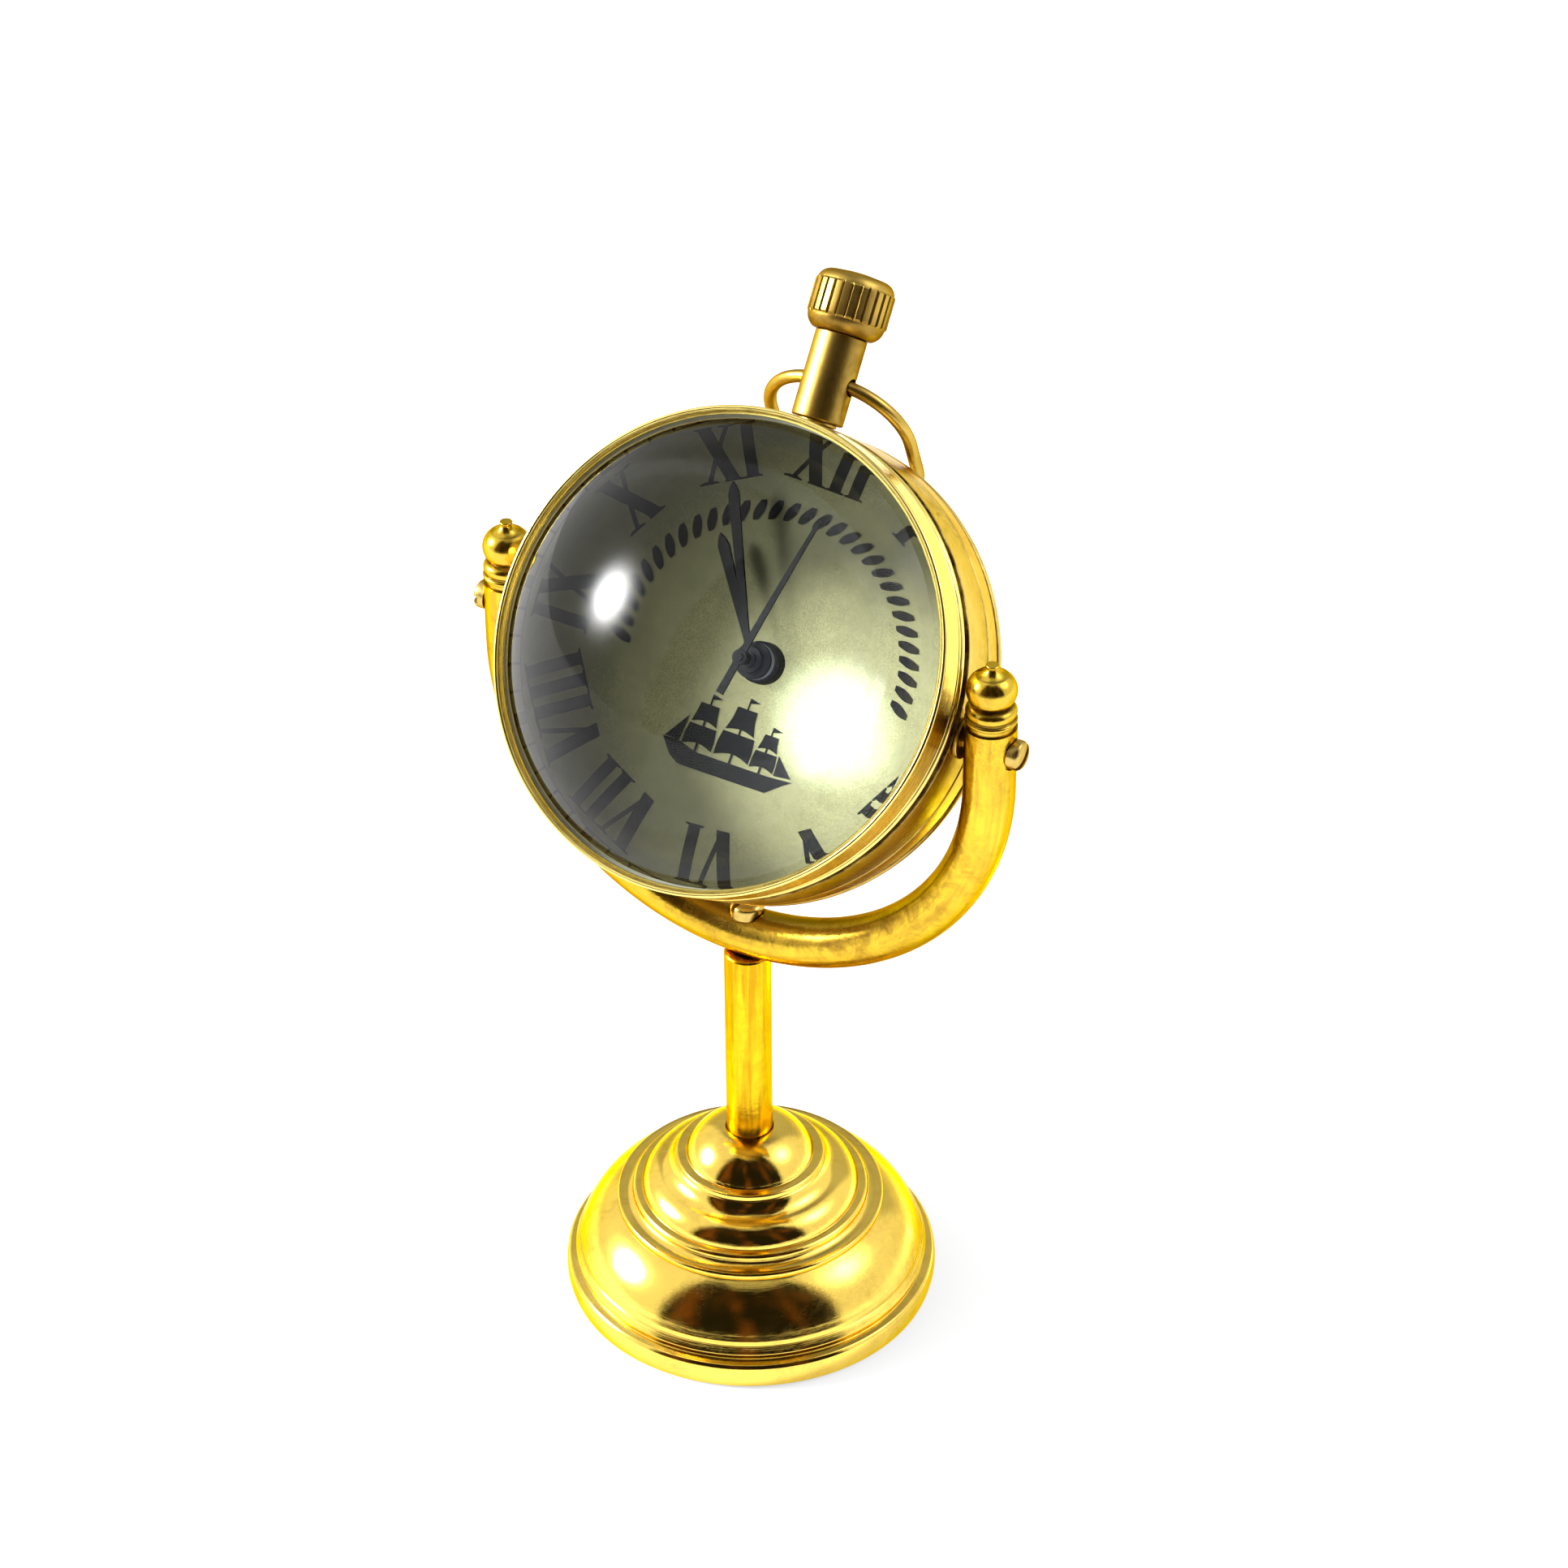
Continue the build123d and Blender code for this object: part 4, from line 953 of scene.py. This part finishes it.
def make_stem():
    """Tube on the case, bored across for the bow, with its washer inside the drum."""
    line = [(1.56, 38.55), (4.0, 38.55), (4.18, 38.75), (4.18, 52.2), (4.0, 52.35), (1.56, 52.35)]
    stem = lathe("stem_post", line, STEM, brass_stem, "case", ["stem"], steps=96, edge=0.06)
    across = STEM @ Matrix.Translation((0, 0, 44.8)) @ Matrix.Rotation(math.pi / 2, 4, "Y")
    cut(stem, rod(1.45, -6, 6, across))
    lathe("stem_foot_washer", [(1.54, 38.02), (3.25, 38.02), (3.25, 38.48), (1.54, 38.48)], STEM, brass_satin,
          "case", ["stem_washer"], steps=64)


def fluted(angle, radius, height):
    """Radius of the crown at an angle, with a flute cut in each step of its knurled wall."""
    if not KNURL_LOW - 0.45 < height < KNURL_HIGH + 0.45 or radius < 5.9:
        return radius
    phase = (angle * FLUTES / TAU) % 1.0
    depth = max(0.0, 1 - abs(phase - 0.5) / 0.2)
    return min(radius, KNURL_RADIUS - FLUTE_DEPTH * depth ** 0.7) if depth > 0 else radius


def make_crown():
    """Knurled knob with its spindle."""
    line = [(0, 47.0), (1.5, 47.0), (1.5, 52.45), (4.75, 52.45)]
    line += arc((4.75, 52.45), (5.75, 53.35), (6.2, 54.65), 12)
    line += [(KNURL_RADIUS, KNURL_LOW + (KNURL_HIGH - KNURL_LOW) * k / 6) for k in range(7)] + [(6.2, 60.2)]
    line += arc((6.2, 60.18), (5.65, 61.28), (4.3, 61.93), 14)
    line += [(2.0, 62.22), (0, 62.27)]
    lathe("crown_knob", line, STEM, brass_crown, "crown", ["crown"], closed=False,
          steps=FLUTES * 20, edge=0.08, shape=fluted, sharp=40)


def bow_path():
    """Centre line of the wire: out of the stem, round a bend, straight, and half round to the other side."""
    slope = math.radians(15)
    stem_wall = 4.3
    bend = (BOW_HALF - stem_wall) / (1 - math.sin(slope))
    start = Vector((stem_wall, 0.6 * math.tan(slope), 0))
    bend_middle = start + Vector((-math.sin(slope), math.cos(slope), 0)) * bend
    path = [Vector((3.0, -0.7 * math.tan(slope), 0)), start]
    for k in range(1, 25):
        angle = slope + (math.pi / 2 - slope) * k / 24
        path.append(bend_middle + Vector((math.sin(angle), -math.cos(angle), 0)) * bend)
    bend_end = path[-1]
    path += [bend_end + Vector((0, 6.0 * k / 4, 0)) for k in range(1, 5)]
    middle = path[-1] - Vector((BOW_HALF, 0, 0))
    quarter = [math.pi * k / 64 for k in range(1, 33)]
    path += [middle + Vector((BOW_HALF * math.cos(a), BOW_HALF * math.sin(a), 0)) for a in quarter]
    return path + [Vector((-point.x, point.y, 0)) for point in reversed(path[:-1])]


def make_bow():
    bm = bmesh.new()
    bar_into(bm, bow_path(), BOW_WIRE, Z, 32)
    add_piece("bow_wire", bm, BOW, brass_satin, "bow", ["bow"])


# ---- CAD nodes that stay ----


def dress_cad_nodes():
    dressed = {
        steel: ["base_bolt", "base_washer", "coil_core", "battery", "battery_clip"],
        aluminium: ["dial_plate"],
        plastic_black: ["retaining_ring", "movement_housing", "movement_lid", "set_knob"],
        board_green: ["circuit_board"],
        copper: ["coil"],
        brass_screw: ["stem_screw"],
        hand_black: ["hour_pipe", "minute_arbor", "second_arbor"],
        rubber_black: ["back_gasket"]}
    for material, names in dressed.items():
        for name in names:
            materials = frame["nodes"][name].data.materials
            materials.clear()
            materials.append(material)


# ---- floor and camera ----
CAMERA_AZIMUTH = math.radians(29.08)
CAMERA_ELEVATION = math.radians(35.10)
CAMERA_ROLL = math.radians(-0.34)
CAMERA_DISTANCE = 0.69502
CAMERA_LENS = 100.62
TARGET_HEIGHT = 0.10065
TARGET_TO_RIGHT = 0.00611


def make_floor():
    """White floor that glows a little, so that it stays as bright as the photo's under the clock."""
    bm = bmesh.new()
    bmesh.ops.create_grid(bm, x_segments=2, y_segments=2, size=4.0)
    mesh = bpy.data.meshes.new("floor")
    bm.to_mesh(mesh)
    bm.free()
    floor = bpy.data.objects.new("floor", mesh)
    collection.objects.link(floor)
    white = Surface("floor_white", (0.55, 0.55, 0.55, 1), 0.9)
    mesh.materials.append(white.finish({"Emission Color": (1, 1, 1, 1), "Emission Strength": 0.66}))


def make_camera():
    """Camera at the photograph's angle, with its small roll."""
    level = Vector((math.cos(CAMERA_AZIMUTH), math.sin(CAMERA_AZIMUTH), 0))
    back = Vector((math.sin(CAMERA_AZIMUTH) * math.cos(CAMERA_ELEVATION),
                   -math.cos(CAMERA_AZIMUTH) * math.cos(CAMERA_ELEVATION), math.sin(CAMERA_ELEVATION)))
    upright = back.cross(level)
    eye = Vector((0, 0, TARGET_HEIGHT)) + level * TARGET_TO_RIGHT + back * CAMERA_DISTANCE
    to_right = level * math.cos(CAMERA_ROLL) + upright * math.sin(CAMERA_ROLL)
    to_top = -level * math.sin(CAMERA_ROLL) + upright * math.cos(CAMERA_ROLL)
    data = bpy.data.cameras.new("camera")
    data.sensor_width = 36.0
    data.lens = CAMERA_LENS
    data.clip_start = 0.01
    data.clip_end = 20
    camera = bpy.data.objects.new("camera", data)
    rows = [(to_right[i], to_top[i], back[i], eye[i]) for i in range(3)]
    camera.matrix_world = Matrix(rows + [(0, 0, 0, 1)])
    collection.objects.link(camera)
    bpy.context.scene.camera = camera


# ---- lamps ----
GATHERED_FROM = (-30, 50)        # azimuth and elevation of the light that the dome gathers on the dial
GATHERED_DISTANCE = 700          # millimetres


def direction(azimuth, elevation):
    """Unit vector for degrees of azimuth, counted from the front to the right, and of elevation."""
    a, e = math.radians(azimuth), math.radians(elevation)
    return Vector((math.sin(a) * math.cos(e), -math.cos(a) * math.cos(e), math.sin(e)))


def hang_lamp(data, place, way):
    """Lamp at a place, which shines back along way."""
    lamp = bpy.data.objects.new(data.name, data)
    collection.objects.link(lamp)
    lamp.location = place
    lamp.rotation_mode = "QUATERNION"
    lamp.rotation_quaternion = way.to_track_quat("Z", "Y")
    return lamp


def make_lamp_above():
    """Soft round lamp over the clock."""
    width = 0.6
    radiance = 0.3
    way = direction(29, 80)
    data = bpy.data.lights.new("lamp_above", "AREA")
    data.shape = "ELLIPSE"
    data.size = width
    data.size_y = width
    data.energy = radiance * math.pi * (width * width * (math.pi / 4))
    lamp = hang_lamp(data, Vector((0, 0, 0.11)) + way * 1.2, way)
    lamp.visible_camera = False


def make_gathered_lamp(name, x, y, radius, energy, color):
    """Small spot on the dial at x, y. The dome gathers lamp light there, which the plain glass leaves out."""
    way = direction(*GATHERED_FROM)
    data = bpy.data.lights.new(name, "SPOT")
    data.energy = energy
    data.color = color
    data.spot_blend = 1.0
    data.spot_size = 2 * math.atan(radius / GATHERED_DISTANCE)
    data.shadow_soft_size = 0.001
    data.use_shadow = False
    lamp = hang_lamp(data, CASE @ Vector((x, y, DIAL)) + way * (GATHERED_DISTANCE * MM), way)
    lamp.visible_glossy = False
    lamp.visible_transmission = False


def make_lamps():
    make_lamp_above()
    make_gathered_lamp("lamp_gathered", 14.5, -5.5, 21.5, 175, (0.90, 0.96, 1.0))
    make_gathered_lamp("lamp_core", 9.8, -4.5, 8.0, 420, (0.62, 0.78, 1.0))


# ---- surroundings ----


def band(n, value, low, high, soft):
    """1 from low to high, with soft edges."""
    return n.times(n.step(value, low - soft, low + soft), n.step(value, high + soft, high - soft))


def glow(n, ray, azimuth, elevation, spread, peak):
    """Soft round light in the wall; spread is in degrees."""
    width = 1 - math.cos(math.radians(spread))
    beside = n.math("SUBTRACT", n.dot(ray, direction(azimuth, elevation)), 1.0)
    return n.times(n.math("EXPONENT", n.times(beside, 1 / width)), peak)


def total(n, *values):
    """Sum of the values."""
    result = values[0]
    for value in values[1:]:
        result = n.math("ADD", result, value)
    return result


def make_surroundings():
    """Bright walls left and right, a dim back and ceiling, and a dark furnished room on the camera's side."""
    world = bpy.data.worlds.new("tent")
    bpy.context.scene.world = world
    world.use_nodes = True
    n = Nodes(world.node_tree)
    ray = n.new("ShaderNodeTexCoord", {}).outputs["Generated"]
    x, y, z = n.new("ShaderNodeSeparateXYZ", {0: ray}).outputs
    azimuth = n.times(n.math("ARCTAN2", x, n.times(y, -1.0)), 180 / math.pi)
    elevation = n.times(n.math("ARCSINE", z), 180 / math.pi)

    opening = n.times(band(n, azimuth, -29, 84, 3), band(n, elevation, -2, 71, 2))
    left_wall = n.times(n.times(band(n, azimuth, -118, -29, 5), n.step(elevation, 84, 76)), 0.92)
    right_wall = n.times(n.times(band(n, azimuth, 84, 158, 8), n.step(elevation, 80, 72)), 0.85)
    low_glow = n.times(n.step(elevation, 16, 4), 0.3)
    dim_wall = n.times(n.step(elevation, 66, 40), 0.34)
    wall = n.math("MINIMUM", total(n, left_wall, right_wall, low_glow, dim_wall, 0.26), 1.1)
    wall = n.times(wall, n.math("SUBTRACT", 1.0, opening))
    wall = total(n, wall, glow(n, ray, -66, 24, 6.6, 180.0), glow(n, ray, -68, 24, 12.0, 4.0),
                 glow(n, ray, 116, 45, 11.0, 6.0))
    wall = n.new("ShaderNodeCombineColor", {0: wall, 1: wall, 2: wall}).outputs[0]

    # upright shapes, as of furniture
    shapes = n.new("ShaderNodeCombineXYZ", {0: n.times(azimuth, 1 / 17.0), 1: n.times(elevation, 1 / 60.0)})
    room = n.ramp(n.noise(shapes.outputs[0]), [(0.50, (0.016, 0.014, 0.012)), (0.66, (0.22, 0.085, 0.025))])
    tent = n.mix(1.0, wall, n.mix(opening, (0, 0, 0), room), "ADD")

    # the camera sees plain white instead
    around = n.new("ShaderNodeBackground", {"Color": tent, "Strength": 1.0})
    white = n.new("ShaderNodeBackground", {"Color": (1, 1, 1, 1), "Strength": 1.0})
    seen = n.new("ShaderNodeLightPath", {}).outputs["Is Camera Ray"]
    both = n.new("ShaderNodeMixShader", {0: seen, 1: around.outputs[0], 2: white.outputs[0]})
    n.new("ShaderNodeOutputWorld", {"Surface": both.outputs[0]})


def set_view():
    """Plain colours, and enough bounces for the glass."""
    scene = bpy.context.scene
    scene.view_settings.view_transform = "Standard"
    scene.view_settings.look = "None"
    scene.cycles.use_denoising = True
    scene.cycles.max_bounces = 16
    scene.cycles.transmission_bounces = 16
    scene.cycles.glossy_bounces = 8
    scene.cycles.transparent_max_bounces = 16
    scene.cycles.caustics_refractive = False
    scene.cycles.caustics_reflective = False


# ---- the clock and its studio ----
make_base()
make_felt_pad()
make_post()
make_yoke()
make_yoke_screw()
make_pivot_screws()
make_finials()
make_drum()
make_bezel()
make_lens()
make_dial_sheet()
print_numerals()
print_minute_track()
print_rope_border()
print_ship()
make_hands()
make_back_cover()
make_stem()
make_crown()
make_bow()
dress_cad_nodes()
make_floor()
make_camera()
make_lamps()
make_surroundings()
set_view()
